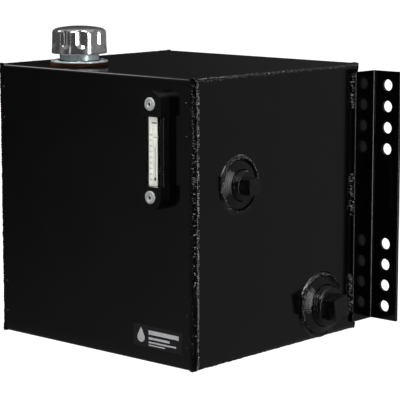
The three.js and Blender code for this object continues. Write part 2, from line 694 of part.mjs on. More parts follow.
// The clear sight tube: hollow from end to end, with a rounded front.
function gaugeTube() {
  const length = UPPER_FLAT - LOWER_FLAT - 2 * GAP;
  const w = TUBE.half_width;
  const shape = new THREE.Shape();
  shape.moveTo(GAUGE.x - w, TUBE_BACK);
  shape.lineTo(GAUGE.x - w, TUBE_FRONT + TUBE.shoulder);
  shape.quadraticCurveTo(GAUGE.x - w, TUBE_FRONT, GAUGE.x - w + TUBE.shoulder_width, TUBE_FRONT);
  shape.lineTo(GAUGE.x + w - TUBE.shoulder_width, TUBE_FRONT);
  shape.quadraticCurveTo(GAUGE.x + w, TUBE_FRONT, GAUGE.x + w, TUBE_FRONT + TUBE.shoulder);
  shape.lineTo(GAUGE.x + w, TUBE_BACK);
  const inner = w - TUBE.wall;
  shape.holes.push(polygon([
    [GAUGE.x - inner, TUBE_BACK - TUBE.wall], [GAUGE.x + inner, TUBE_BACK - TUBE.wall],
    [GAUGE.x + inner, TUBE_FRONT + TUBE.crown_wall], [GAUGE.x - inner, TUBE_FRONT + TUBE.crown_wall],
  ]));
  return extrudeZ(shape, LOWER_FLAT + GAP, length, 4);
}

function gaugeScalePlate() {
  const y_back = TUBE_BACK - TUBE.wall - GAP;
  return frontBox(
    GAUGE.x - SCALE.half_width, GAUGE.x + SCALE.half_width, LOWER_FLAT + 1, UPPER_FLAT - 1,
    y_back, y_back - SCALE.thickness,
  );
}

function gaugeThermometer() {
  const y = TUBE_BACK - TUBE.wall - SCALE.thickness - THERMOMETER.bulb - 2 * GAP;
  const { radius, bulb, foot, tip } = THERMOMETER;
  const z0 = LOWER_FLAT + THERMOMETER.above_cap;
  const z1 = z0 + THERMOMETER.length;
  const glass = turned([
    [0, z0], [foot, z0 + THERMOMETER.foot_height], [bulb, z0 + THERMOMETER.bulb_low],
    [bulb, z0 + THERMOMETER.bulb_high], [radius, z0 + THERMOMETER.stem],
    [radius, z1 - THERMOMETER.tip_height], [tip, z1], [0, z1],
  ], 'z', 10);
  return placed(glass, GAUGE.x + THERMOMETER.offset, y, 0);
}

function gaugeBolt(z) {
  const front = GAUGE.cap + THIN_GAP;
  const bolt = turned([
    [0, -GAUGE.bolt_inside], [GAUGE.shank, -GAUGE.bolt_inside], [GAUGE.shank, front],
    [GAUGE.head, front], [GAUGE.head, front + GAUGE.head_height - GAUGE.head_edge],
    [GAUGE.head - GAUGE.head_edge, front + GAUGE.head_height], [0, front + GAUGE.head_height],
  ], '-y', 20);
  return placed(bolt, GAUGE.x, -HALF_D, z);
}

function gaugeSeal(z) {
  const ring = washer(O_RING.inner, O_RING.outer, THIN_GAP, THIN_GAP + O_RING.thickness, '-y', 16);
  return placed(ring, GAUGE.x, -HALF_D, z);
}

function gaugeNut(z) {
  const shape = new THREE.Shape();
  const corner = NUT.across_flats / 2 / Math.cos(Math.PI / 6);
  polar(6, corner, 0).forEach(([x, y], i) => {
    if (i === 0) shape.moveTo(GAUGE.x + x, z + y);
    else shape.lineTo(GAUGE.x + x, z + y);
  });
  shape.holes.push(circle(GAUGE.x, z, GAUGE.hole));
  return extrudeFront(shape, -HALF_D + TANK.sheet + GAP + NUT.thickness, NUT.thickness, 8);
}

// ---------------------------------------------------------------- label

function dataLabel() {
  const shape = roundedRectangle(LABEL.x0, LABEL.z0, LABEL.x1, LABEL.z1, LABEL.corner);
  return extrudeFront(shape, -HALF_D - THIN_GAP, LABEL.thickness, 3);
}

// ---------------------------------------------------------------- the scene graph

add('tank_wrapper', tankWrapper(), black_paint());
add('side_plate_right', sidePlateRight(), black_paint());
add('side_plate_left', sidePlateLeft(), black_paint());
add('baffle_plate', bafflePlate(), black_paint());
add('corner_weld_right', cornerWeldRight(), weld_paint());
add('corner_weld_left', mirroredX(cornerWeldRight()), weld_paint());
add('rear_seam_weld', rearSeamWeld(), weld_paint());

add('bracket_right', bracketRight(), black_paint());
add('bracket_left', mirroredX(bracketRight()), black_paint());
STITCH.spans.forEach(([z0, z1], i) => {
  add(`bracket_weld_right_${i + 1}`, stitchWeldRight(z0, z1), weld_paint());
  add(`bracket_weld_left_${i + 1}`, mirroredX(stitchWeldRight(z0, z1)), weld_paint());
});

[['return', RETURN_PORT], ['suction', SUCTION_PORT]].forEach(([name, port]) => {
  add(`${name}_bung`, bung(port), black_paint()).position.set(HALF_W, port.y, port.z);
  add(`${name}_bung_weld`, bungWeld(port), weld_paint()).position.set(HALF_W, port.y, port.z);
  add(`${name}_plug`, pipePlug(port), black_iron()).position.set(HALF_W, port.y, port.z);
});
add('drain_bung', drainBung(), black_paint()).position.set(-HALF_W, DRAIN.y, DRAIN.z);
add('drain_bung_weld', drainBungWeld(), weld_paint()).position.set(-HALF_W, DRAIN.y, DRAIN.z);
add('drain_plug', drainPlug(), black_iron()).position.set(-HALF_W, DRAIN.y, DRAIN.z);

add('filler_gasket_lower', fillerGasket(STACK.lower_gasket), cork());
add('strainer_basket', strainerBasket(), zinc());
add('filler_gasket_upper', fillerGasket(STACK.upper_gasket), cork());
add('filler_neck', fillerNeck(), zinc());
screw_points.forEach(([x, y], i) => {
  add(`filler_screw_${i + 1}`, fillerScrew(x, y), zinc());
});
add('cap_seal', capSeal(), rubber());
add('cap_shell', capShell(), chrome());
add('cap_lock_plate', capLockPlate(), zinc());
add('breather_element', breatherElement(), cork());
add('cap_stud', capStud(), zinc());

add('gauge_housing', gaugeHousing(), black_plastic());
add('gauge_cap_upper', gaugeCap(GAUGE.upper, true), black_plastic());
add('gauge_cap_lower', gaugeCap(GAUGE.lower, false), black_plastic());
add('gauge_tube', gaugeTube(), clear_plastic());
add('gauge_scale_plate', gaugeScalePlate(), white_scale());
add('gauge_thermometer', gaugeThermometer(), clear_plastic());
[['upper', GAUGE.upper], ['lower', GAUGE.lower]].forEach(([name, z]) => {
  add(`gauge_bolt_${name}`, gaugeBolt(z), zinc());
  add(`gauge_seal_${name}`, gaugeSeal(z), rubber());
  add(`gauge_nut_${name}`, gaugeNut(z), zinc());
});

add('data_label', dataLabel(), label_film());

export default reservoir;
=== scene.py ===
import math

import bpy
import bmesh
import numpy as np
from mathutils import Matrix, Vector, noise
from mathutils.geometry import tessellate_polygon


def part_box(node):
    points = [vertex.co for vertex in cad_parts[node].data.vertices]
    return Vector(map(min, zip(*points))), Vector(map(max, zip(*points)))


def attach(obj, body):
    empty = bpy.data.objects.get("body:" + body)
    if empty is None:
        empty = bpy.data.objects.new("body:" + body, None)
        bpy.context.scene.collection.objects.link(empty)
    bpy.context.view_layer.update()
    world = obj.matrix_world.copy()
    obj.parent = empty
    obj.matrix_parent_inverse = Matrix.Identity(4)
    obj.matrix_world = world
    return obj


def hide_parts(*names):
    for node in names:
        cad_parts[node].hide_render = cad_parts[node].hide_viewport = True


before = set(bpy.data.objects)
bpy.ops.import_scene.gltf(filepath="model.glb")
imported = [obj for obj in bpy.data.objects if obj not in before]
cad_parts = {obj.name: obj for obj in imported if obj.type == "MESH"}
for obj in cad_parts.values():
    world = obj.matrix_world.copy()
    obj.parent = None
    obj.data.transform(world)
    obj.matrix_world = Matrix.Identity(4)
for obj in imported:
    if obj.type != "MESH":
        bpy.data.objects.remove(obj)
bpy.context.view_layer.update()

MM = 0.001
SMOOTH_UNDER = 35           # edges under this many degrees are shaded smooth


def box_mm(node):
    low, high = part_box(node)
    return np.array(low) / MM, np.array(high) / MM


def middle_mm(node):
    low, high = box_mm(node)
    return (low + high) / 2


# -------------------- materials

def new_material(name, base, rough, metallic=0.0, **sockets):
    material = bpy.data.materials.new(name)
    material.use_nodes = True
    tree = material.node_tree
    shader = tree.nodes["Principled BSDF"]
    shader.inputs["Base Color"].default_value = (*base, 1)
    shader.inputs["Roughness"].default_value = rough
    shader.inputs["Metallic"].default_value = metallic
    for key, value in sockets.items():
        shader.inputs[key.replace("_", " ")].default_value = value
    coords = tree.nodes.new("ShaderNodeTexCoord")
    return material, tree, shader, coords.outputs["Object"]


def noise_node(tree, coords, size_mm, detail=3.0, stretch=None):
    texture = tree.nodes.new("ShaderNodeTexNoise")
    texture.inputs["Scale"].default_value = 1.0 / (size_mm * MM)
    texture.inputs["Detail"].default_value = detail
    if stretch:
        mapping = tree.nodes.new("ShaderNodeMapping")
        mapping.inputs["Scale"].default_value = stretch
        tree.links.new(coords, mapping.inputs["Vector"])
        coords = mapping.outputs["Vector"]
    tree.links.new(coords, texture.inputs["Vector"])
    return texture.outputs["Fac"]


def voronoi_node(tree, coords, size_mm):
    texture = tree.nodes.new("ShaderNodeTexVoronoi")
    texture.inputs["Scale"].default_value = 1.0 / (size_mm * MM)
    tree.links.new(coords, texture.inputs["Vector"])
    return texture.outputs["Distance"]


def spread(tree, value, low, high, start=0.3, end=0.7):
    """Maps start to end of a texture's value onto low to high."""
    ranged = tree.nodes.new("ShaderNodeMapRange")
    ranged.inputs["From Min"].default_value = start
    ranged.inputs["From Max"].default_value = end
    ranged.inputs["To Min"].default_value = low
    ranged.inputs["To Max"].default_value = high
    tree.links.new(value, ranged.inputs["Value"])
    return ranged.outputs["Result"]


def colours(tree, value, stops):
    ramp = tree.nodes.new("ShaderNodeValToRGB")
    elements = ramp.color_ramp.elements
    while len(elements) < len(stops):
        elements.new(0.5)
    for element, (position, colour) in zip(elements, stops):
        element.position = position
        element.color = (*colour, 1)
    tree.links.new(value, ramp.inputs["Fac"])
    return ramp.outputs["Color"]


def mottled(tree, shader, cloud, stops, low, high):
    """One noise drives the colour, through a ramp, and the roughness from low to high."""
    tree.links.new(colours(tree, cloud, stops), shader.inputs["Base Color"])
    tree.links.new(spread(tree, cloud, low, high), shader.inputs["Roughness"])


def multiplied(tree, first, second):
    mix = tree.nodes.new("ShaderNodeMix")
    mix.data_type = "RGBA"
    mix.blend_type = "MULTIPLY"
    mix.inputs["Factor"].default_value = 1.0
    tree.links.new(first, mix.inputs[6])
    tree.links.new(second, mix.inputs[7])
    return mix.outputs[2]


def bumped(tree, shader, layers):
    """A chain of bump nodes, one for each (height, strength, depth in mm)."""
    normal = None
    for value, strength, depth_mm in layers:
        bump = tree.nodes.new("ShaderNodeBump")
        bump.inputs["Strength"].default_value = strength
        bump.inputs["Distance"].default_value = depth_mm * MM
        tree.links.new(value, bump.inputs["Height"])
        if normal:
            tree.links.new(normal, bump.inputs["Normal"])
        normal = bump.outputs["Normal"]
    tree.links.new(normal, shader.inputs["Normal"])


def painted(name, rough, peel, base=0.0018):
    """Gloss black powder coat: orange peel, faint cloudiness and a few softer patches."""
    material, tree, shader, co = new_material(name, (base,) * 3, rough)
    cloud = noise_node(tree, co, 70, 4)
    grit = noise_node(tree, co, 1.6, 2)
    stops = [(0.3, (base * 0.8, base * 0.8, base * 0.85)), (0.7, (base * 1.25, base * 1.25, base * 1.35))]
    mottled(tree, shader, cloud, stops, rough * 0.8, rough * 1.25)
    bumped(tree, shader, [(grit, 0.12, peel), (noise_node(tree, co, 9, 2), 0.2, peel * 0.8)])
    return material


def cast_iron():
    material, tree, shader, co = new_material("black_iron", (0.006, 0.006, 0.006), 0.2)
    blotch = noise_node(tree, co, 6, 5)
    mottled(tree, shader, blotch, [(0.35, (0.003, 0.003, 0.0035)), (0.75, (0.012, 0.012, 0.012))], 0.13, 0.3)
    bumped(tree, shader, [(noise_node(tree, co, 1.1, 4), 0.35, 0.12), (blotch, 0.3, 0.25)])
    return material


def zinc_plate(name="zinc_plate", tint=(0.76, 0.87, 0.90), rough=0.34, metallic=0.5):
    material, tree, shader, co = new_material(name, tint, rough, metallic)
    cloud = noise_node(tree, co, 7, 4)
    cool = tuple(c * 0.86 for c in tint)
    mottled(tree, shader, cloud, [(0.3, cool), (0.7, tint)], rough * 0.8, rough * 1.3)
    bumped(tree, shader, [(noise_node(tree, co, 0.8, 2, (1, 1, 6)), 0.12, 0.03)])
    return material


def chrome_plate():
    """Bright plating with a faint haze and the ripple of the pressing under it."""
    material, tree, shader, co = new_material("chrome_plate", (0.74, 0.73, 0.75), 0.13, 0.9)
    haze = noise_node(tree, co, 5, 4)
    mottled(tree, shader, haze, [(0.3, (0.64, 0.63, 0.66)), (0.75, (0.82, 0.81, 0.83))], 0.09, 0.15)
    bumped(tree, shader, [(noise_node(tree, co, 3.5, 3, (1, 1, 0.25)), 0.1, 0.06)])
    return material


def cork_sheet():
    """Cork granules with darker patches, and painted shade that darkens the cork towards +X."""
    material, tree, shader, co = new_material("cork_sheet", (0.20, 0.10, 0.05), 0.8)
    grains = voronoi_node(tree, co, 1.8)
    patches = noise_node(tree, co, 16, 4)
    granules = colours(tree, grains, [(0.05, (0.42, 0.19, 0.09)), (0.6, (0.16, 0.075, 0.035))])
    patched = colours(tree, patches, [(0.35, (0.55, 0.5, 0.45)), (0.65, (1.0, 0.95, 0.9))])
    # painted shade: the cork's colour falls from 0.85 at x = -122 mm to 0.16 at x = -75 mm, darker towards
    # +X
    split = tree.nodes.new("ShaderNodeSeparateXYZ")
    tree.links.new(co, split.inputs["Vector"])
    painted_shade_ramp = colours(tree, spread(tree, split.outputs["X"], 0.0, 1.0, -0.122, -0.075),
                     [(0.0, (0.85, 0.85, 0.85)), (1.0, (0.16, 0.14, 0.12))])
    grain_and_painted_shade = multiplied(tree, multiplied(tree, granules, patched), painted_shade_ramp)
    tree.links.new(grain_and_painted_shade, shader.inputs["Base Color"])
    shader.inputs["Specular IOR Level"].default_value = 0.15
    bumped(tree, shader, [(grains, 0.5, 0.25)])
    return material


def moulded(name, base, rough, grain=0.9, depth=0.05):
    """Moulded plastic, rubber or felt with a fine grain."""
    material, tree, shader, co = new_material(name, base, rough)
    fine = noise_node(tree, co, grain, 3)
    cloud = noise_node(tree, co, 22, 3)
    lighter = tuple(min(1.0, c * 1.25) for c in base)
    mottled(tree, shader, cloud, [(0.3, base), (0.7, lighter)], rough * 0.88, min(1.0, rough * 1.15))
    bumped(tree, shader, [(fine, 0.25, depth)])
    return material


def clear_tube():
    material, tree, shader, co = new_material("clear_tube", (0.97, 0.985, 0.98), 0.03)
    shader.inputs["Transmission Weight"].default_value = 1.0
    shader.inputs["IOR"].default_value = 1.18
    smear = noise_node(tree, co, 8, 3)
    tree.links.new(spread(tree, smear, 0.02, 0.07), shader.inputs["Roughness"])
    bumped(tree, shader, [(noise_node(tree, co, 14, 2), 0.1, 0.05)])
    return material


def printed(name, base, rough=0.45):
    material, tree, shader, co = new_material(name, base, rough)
    stain = noise_node(tree, co, 12, 4)
    darker = tuple(c * 0.86 for c in base)
    mottled(tree, shader, stain, [(0.3, darker), (0.65, base)], rough * 0.8, rough * 1.2)
    bumped(tree, shader, [(noise_node(tree, co, 0.7, 2), 0.12, 0.02)])
    return material


PAINT = painted("black_powder_coat", 0.12, 0.008)
BRACKET_PAINT = painted("black_coat_on_mill_scale", 0.16, 0.03, 0.0012)
TURNED_PAINT = painted("black_coat_on_turned_steel", 0.08, 0.02, 0.0013)
WELD_PAINT = painted("black_coat_on_weld", 0.09, 0.05, 0.0015)
CORNER_PAINT = painted("black_coat_on_corner_weld", 0.08, 0.03, 0.0012)
IRON = cast_iron()
ZINC = zinc_plate()
BOLT_ZINC = zinc_plate("bright_zinc", (0.88, 0.91, 0.91), 0.42, 0.3)
CHROME = chrome_plate()
CORK = cork_sheet()
PLASTIC = moulded("black_nylon", (0.0026, 0.0026, 0.003), 0.3)
RUBBER = moulded("nitrile", (0.010, 0.010, 0.010), 0.7)
FELT = moulded("filter_felt", (0.33, 0.29, 0.22), 0.95, 0.6, 0.4)
CLEAR = clear_tube()
SCALE = printed("scale_ivory", (0.66, 0.655, 0.59))
INK = printed("scale_ink", (0.03, 0.03, 0.035), 0.5)
FILM = printed("label_film", (0.018, 0.018, 0.021), 0.32)
LABEL_WHITE = printed("label_print", (0.96, 0.97, 0.99), 0.4)
SPIRIT = printed("thermometer_spirit", (0.05, 0.05, 0.06), 0.3)
for coat, level in ((WELD_PAINT, 0.85), (TURNED_PAINT, 0.6), (PLASTIC, 0.42)):
    coat.node_tree.nodes["Principled BSDF"].inputs["Specular IOR Level"].default_value = level


# -------------------- mesh tools

def object_from(name, mesh, material):
    piece = bpy.data.objects.new(name, mesh)
    bpy.context.scene.collection.objects.link(piece)
    mesh.materials.append(material)
    return piece


def shaded(mesh, sharp):
    """Merges doubled points, turns the faces outwards and keeps only the sharp edges sharp."""
    tidy = bmesh.new()
    tidy.from_mesh(mesh)
    bmesh.ops.remove_doubles(tidy, verts=tidy.verts, dist=2e-6)
    bmesh.ops.recalc_face_normals(tidy, faces=tidy.faces)
    tidy.to_mesh(mesh)
    tidy.free()
    mesh.polygons.foreach_set("use_smooth", [True] * len(mesh.polygons))
    mesh.set_sharp_from_angle(angle=math.radians(sharp))
    mesh.update()


def solid(name, verts, faces, material, sharp=SMOOTH_UNDER):
    mesh = bpy.data.meshes.new(name)
    mesh.from_pydata([tuple(float(c) * MM for c in v) for v in verts], [], faces)
    shaded(mesh, sharp)
    return object_from(name, mesh, material)


def settle(piece, nodes=(), body="tank", bevel=0.0, segments=3):
    """Rounds the edges if asked, then puts the piece under its body and hides the nodes it stands for."""
    if bevel:
        modifier = piece.modifiers.new("edges", "BEVEL")
        modifier.width = bevel * MM
        modifier.segments = segments
        modifier.limit_method = "ANGLE"
        modifier.angle_limit = math.radians(38)
        modifier.harden_normals = True
    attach(piece, body)
    if nodes:
        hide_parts(*nodes)
    return piece


def carve(piece, cutters, sharp=SMOOTH_UNDER):
    """Cuts the cutters out of the piece, leaves one plain mesh and removes the cutters."""
    for cutter in cutters:
        modifier = piece.modifiers.new("cut", "BOOLEAN")
        modifier.operation = "DIFFERENCE"
        modifier.solver = "EXACT"
        modifier.object = cutter
    bpy.context.view_layer.update()
    evaluated = piece.evaluated_get(bpy.context.evaluated_depsgraph_get())
    mesh = bpy.data.meshes.new_from_object(evaluated)
    piece.modifiers.clear()
    piece.data = mesh
    shaded(mesh, sharp)
    for cutter in cutters:
        bpy.data.objects.remove(cutter)
    return piece


def grid_faces(rows, columns, wrap_rows=False, wrap_columns=False):
    faces = []
    for i in range(rows if wrap_rows else rows - 1):
        for j in range(columns if wrap_columns else columns - 1):
            a = i * columns + j
            b = i * columns + (j + 1) % columns
            c = ((i + 1) % rows) * columns + (j + 1) % columns
            d = ((i + 1) % rows) * columns + j
            faces.append((a, b, c, d))
    return faces


def two_skins(outer, rim, shift):
    """The faces of a sheet: the outer skin, the inner one, and the edge along the rim's pairs."""
    inner = [tuple(v + shift for v in face) for face in outer]
    return outer + inner + [(a, b, b + shift, a + shift) for a, b in rim]


def turned_points(points, degrees):
    a = math.radians(degrees)
    return [(u * math.cos(a) - v * math.sin(a), u * math.sin(a) + v * math.cos(a)) for u, v in points]


def rectangle(x0, x1, z0, z1, corner=0.0, steps=4):
    return softened([(x0, z0, corner), (x1, z0, corner), (x1, z1, corner), (x0, z1, corner)], steps)


def softened(points, steps=5, closed=True):
    """A polyline of (a, b) or (a, b, radius) points, with each corner that has a radius rounded."""
    result = []
    count = len(points)
    for i, point in enumerate(points):
        p = np.array(point[:2], float)
        radius = point[2] if len(point) > 2 else 0
        ends = not closed and i in (0, count - 1)
        if not radius or ends:
            result.append(tuple(p))
            continue
        before = np.array(points[i - 1][:2], float) - p
        after = np.array(points[(i + 1) % count][:2], float) - p
        start = p + before / np.linalg.norm(before) * min(radius, np.linalg.norm(before) * 0.49)
        end = p + after / np.linalg.norm(after) * min(radius, np.linalg.norm(after) * 0.49)
        for k in range(steps + 1):
            t = k / steps
            result.append(tuple((1 - t) ** 2 * start + 2 * t * (1 - t) * p + t * t * end))
    return result


def resampled(points, spacing, above=-math.inf):
    """More points on every stretch that lies above a height. The last point is left off."""
    dense = []
    for (r0, h0), (r1, h1) in zip(points, points[1:]):
        steps = max(1, int(math.hypot(r1 - r0, h1 - h0) / spacing)) if min(h0, h1) > above else 1
        dense += [(r0 + (r1 - r0) * k / steps, h0 + (h1 - h0) * k / steps) for k in range(steps)]
    return dense


def aimed(axis, along, a, b):
    """A point at a distance along an axis, with a and b across it."""
    if axis == "z":
        return (a, b, along)
    if axis == "x":
        return (along, a, b)
    if axis == "-x":
        return (-along, -a, b)
    return (a, -along, b)


def lathe(name, profile, segments, material, axis="z", centre=(0, 0, 0), sharp=SMOOTH_UNDER,
          warp=None):
    """A closed profile of (radius, height) turned about an axis. warp changes a point by angle."""
    verts = []
    for j in range(segments):
        angle = 2 * math.pi * j / segments
        for radius, height in profile:
            r, h = warp(radius, height, angle) if warp else (radius, height)
            point = aimed(axis, h, r * math.cos(angle), r * math.sin(angle))
            verts.append([point[k] + centre[k] for k in range(3)])
    faces = grid_faces(segments, len(profile), True, True)
    return solid(name, verts, faces, material, sharp)


def prism(name, outline, low, high, material, axis="z", centre=(0, 0, 0), sharp=SMOOTH_UNDER):
    """An outline pushed along an axis from low to high."""
    count = len(outline)
    verts = []
    for level in (low, high):
        for a, b in outline:
            point = aimed(axis, level, a, b)
            verts.append([point[k] + centre[k] for k in range(3)])
    faces = [(i, (i + 1) % count, count + (i + 1) % count, count + i) for i in range(count)]
    for a, b, c in tessellate_polygon([[Vector((u, v, 0)) for u, v in outline]]):
        faces.append((a, b, c))
        faces.append((count + a, count + b, count + c))
    return solid(name, verts, faces, material, sharp)


def ring_point(radius, degrees):
    return radius * math.cos(math.radians(degrees)), radius * math.sin(math.radians(degrees))


def round_rod(radius, low, high, axis, centre, segments=64):
    outline = [ring_point(radius, 360 * k / segments) for k in range(segments)]
    return prism("cutter", outline, low, high, PAINT, axis, centre)


def merged(name, pieces):
    together = bmesh.new()
    for piece in pieces:
        together.from_mesh(piece.data)
    mesh = bpy.data.meshes.new(name)
    together.to_mesh(mesh)
    together.free()
    material = pieces[0].data.materials[0]
    for piece in pieces:
        bpy.data.objects.remove(piece)
    mesh.polygons.foreach_set("use_smooth", [True] * len(mesh.polygons))
    mesh.set_sharp_from_angle(angle=math.radians(SMOOTH_UNDER))
    return object_from(name, mesh, material)


def rough3(x, y, z, size):
    """Smooth noise between about -1 and 1, with lumps of the given size."""
    return noise.noise(Vector((x / size, y / size, z / size)))


def smooth_step(value, low, high):
    t = min(1.0, max(0.0, (value - low) / (high - low)))
    return t * t * (3 - 2 * t)


# -------------------- the camera and the light

CAMERA_PLACE = (1.7885, -1.9402, 0.6139)
CAMERA_AZIMUTH = 42.0
CAMERA_PITCH = 9.0
CAMERA_LENS = 161.5

camera = bpy.data.objects.new("camera", bpy.data.cameras.new("camera"))
camera.data.lens = CAMERA_LENS
camera.data.sensor_width = 36.0
camera.data.clip_end = 100
camera.location = CAMERA_PLACE
camera.rotation_euler = (math.radians(90 - CAMERA_PITCH), 0, math.radians(CAMERA_AZIMUTH))
bpy.context.scene.collection.objects.link(camera)
bpy.context.scene.camera = camera
bpy.context.scene.view_settings.view_transform = "Standard"


def softbox(name, azimuth, elevation, distance, width, height, radiance, aim=(0, 0, 0.2)):
    """A soft area light, placed round the object by angle and turned to face it."""
    a = math.radians(azimuth)
    e = math.radians(elevation)
    away = Vector((math.sin(a) * math.cos(e), -math.cos(a) * math.cos(e), math.sin(e)))
    light = bpy.data.lights.new(name, "AREA")
    light.shape = "RECTANGLE"
    light.size = width
    light.size_y = height
    light.energy = radiance * math.pi * width * height
    lamp = bpy.data.objects.new(name, light)
    lamp.location = Vector(aim) + away * distance
    lamp.rotation_mode = "QUATERNION"
    lamp.rotation_quaternion = (-away).to_track_quat("-Z", "Y")
    bpy.context.scene.collection.objects.link(lamp)
    return lamp


softbox("overhead_softbox", 20, 80, 2.2, 1.2, 1.2, 3.0)
softbox("front_softbox", 86, 6, 3.2, 0.5, 2.4, 9.5)
softbox("left_strip", 5, 8, 3.2, 0.16, 2.2, 1.3)
softbox("fill_softbox", 22, 50, 2.5, 1.4, 1.0, 6.5)
softbox("top_left_softbox", -72, 44, 2.6, 0.8, 0.6, 4.0)
softbox("rear_softbox", 167, 42, 2.8, 0.4, 0.4, 3.0)

world = bpy.data.worlds.new("studio")
world.use_nodes = True
bpy.context.scene.world = world


def studio_sky():
    """A pale studio all round, with a dark sweep behind the object and a brighter ceiling."""
    tree = world.node_tree
    background = tree.nodes["Background"]
    coords = tree.nodes.new("ShaderNodeTexCoord")
    directions = [((-0.866, 0.5, 0.0), 0.50, 0.975, 0.010), ((-0.866, -0.5, 0.0), 0.92, 0.978, 0.03),
                  ((0.375, -0.927, 0.0), 0.62, 0.78, 0.012)]
    level = tree.nodes.new("ShaderNodeValue")
    level.outputs[0].default_value = 0.19
    value = level.outputs[0]

    def towards(value, target, mask):
        mix = tree.nodes.new("ShaderNodeMix")
        mix.inputs["B"].default_value = target
        tree.links.new(mask, mix.inputs["Factor"])
        tree.links.new(value, mix.inputs["A"])
        return mix.outputs["Result"]

    for direction, start, end, dark in directions:
        dot = tree.nodes.new("ShaderNodeVectorMath")
        dot.operation = "DOT_PRODUCT"
        dot.inputs[1].default_value = direction
        tree.links.new(coords.outputs["Generated"], dot.inputs[0])
        value = towards(value, dark, spread(tree, dot.outputs["Value"], 0.0, 1.0, start, end))
    split = tree.nodes.new("ShaderNodeSeparateXYZ")
    tree.links.new(coords.outputs["Generated"], split.inputs["Vector"])
    value = towards(value, 0.4, spread(tree, split.outputs["Z"], 0.0, 1.0, 0.55, 0.85))
    tree.links.new(value, background.inputs["Color"])
    background.inputs["Strength"].default_value = 1.0


studio_sky()


def stage_material(name, colour, glow):
    material = bpy.data.materials.new(name)
    material.use_nodes = True
    shader = material.node_tree.nodes["Principled BSDF"]
    shader.inputs["Base Color"].default_value = (*colour, 1)
    shader.inputs["Roughness"].default_value = 1.0
    shader.inputs["Specular IOR Level"].default_value = 0.0
    shader.inputs["Emission Color"].default_value = (1, 1, 1, 1)
    shader.inputs["Emission Strength"].default_value = glow
    return material


def stage():
    """A pale floor that runs into a pale backdrop. Neither shows in the gloss of the object."""
    reach, dome = 14000, 13000
    floor = solid("floor", [(x, y, -0.3) for x, y in rectangle(-reach, reach, -reach, reach)],
                  [(0, 1, 2, 3)], stage_material("pale_floor", (0.4, 0.4, 0.4), 0.97))
    verts = []
    rings, spokes = 12, 48
    for i in range(rings):
        e = math.radians(-4 + 94 * i / (rings - 1))
        for j in range(spokes):
            a = 2 * math.pi * j / spokes
            verts.append((dome * math.cos(e) * math.cos(a), dome * math.cos(e) * math.sin(a),
                          dome * math.sin(e)))
    backdrop = solid("backdrop", verts, grid_faces(rings, spokes, False, True),
                     stage_material("pale_backdrop", (0.0, 0.0, 0.0), 1.35))
    for item in (floor, backdrop):
        item.visible_glossy = False
        item.visible_diffuse = False
    backdrop.visible_shadow = False


stage()


# -------------------- the tank's sheets

TANK_HIGH = box_mm("tank_wrapper")[1]
HALF_D = TANK_HIGH[1]
HEIGHT = TANK_HIGH[2]
HALF_W = box_mm("side_plate_right")[1][0]
FACE = -HALF_D
SHEET_WAVE = 0.10           # how far a flat sheet waves
SHEET_SMOOTH = 25
SHEET = 3.0
BEND = 5.0
FILLER_BORE = 26.5
GAUGE_X = middle_mm("gauge_housing")[0]
GAUGE_BOLTS_Z = [middle_mm(node)[2] for node in ("gauge_bolt_upper", "gauge_bolt_lower")]
GAUGE_HOLE = 5.5


def perimeter():
    """Points and outward normals round the wrapper's section in (Y, Z), with rounded bends."""
    corners = [(-1, 0, 180), (1, 0, 270), (1, 1, 0), (-1, 1, 90)]
    straights = [24, 26, 24, 26]
    points = []
    for n, (side, top, first) in enumerate(corners):
        centre = (side * (HALF_D - BEND), HEIGHT - BEND if top else BEND)
        arc = [(centre, math.radians(first + 90 * k / 10)) for k in range(11)]
        for (cy, cz), angle in arc:
            normal = (math.cos(angle), math.sin(angle))
            points.append((cy + BEND * normal[0], cz + BEND * normal[1], *normal))
        following = corners[(n + 1) % 4]
        target = (following[0] * (HALF_D - BEND), HEIGHT - BEND if following[1] else BEND)
        angle = math.radians(first + 90)
        normal = (math.cos(angle), math.sin(angle))
        start = np.array(centre) + BEND * np.array(normal)
        end = np.array(target) + BEND * np.array(normal)
        for k in range(1, straights[n]):
            p = start + (end - start) * k / straights[n]
            points.append((p[0], p[1], *normal))
    return points


def wrapper():
    """Front, top, rear and bottom in one bent sheet, with the filler and gauge holes."""
    stations = np.linspace(-TANK_HIGH[0] + 0.9, TANK_HIGH[0] - 0.9, 30)
    ring = perimeter()
    verts = []
    for skin in (0, 1):
        for x in stations:
            for y, z, ny, nz in ring:
                near_edge = min(abs(abs(y) - HALF_D) if abs(nz) > 0.9 else 99,
                                min(z, HEIGHT - z) if abs(ny) > 0.9 else 99,
                                TANK_HIGH[0] - abs(x) + 4)
                wave = SHEET_WAVE * smooth_step(near_edge, 6, 45) * rough3(x, y, z, 110)
                push = wave - (SHEET if skin else 0) - SHEET_WAVE * 0.5
                verts.append((x, y + ny * push, z + nz * push))
    count = len(ring)
    rows = len(stations)
    rim = [(row * count + j, row * count + (j + 1) % count) for row in (0, rows - 1) for j in range(count)]
    faces = two_skins(grid_faces(rows, count, False, True), rim, rows * count)
    piece = solid("tank_sheet", verts, faces, PAINT, SHEET_SMOOTH)
    x, y, _ = middle_mm("filler_neck")
    cutters = [round_rod(FILLER_BORE, HEIGHT - 10, HEIGHT + 10, "z", (x, y, 0))]
    for z in GAUGE_BOLTS_Z:
        cutters.append(round_rod(GAUGE_HOLE, -10, 10, "-y", (GAUGE_X, FACE, z), 32))
    carve(piece, cutters, SHEET_SMOOTH)
    settle(piece, ["tank_wrapper"])


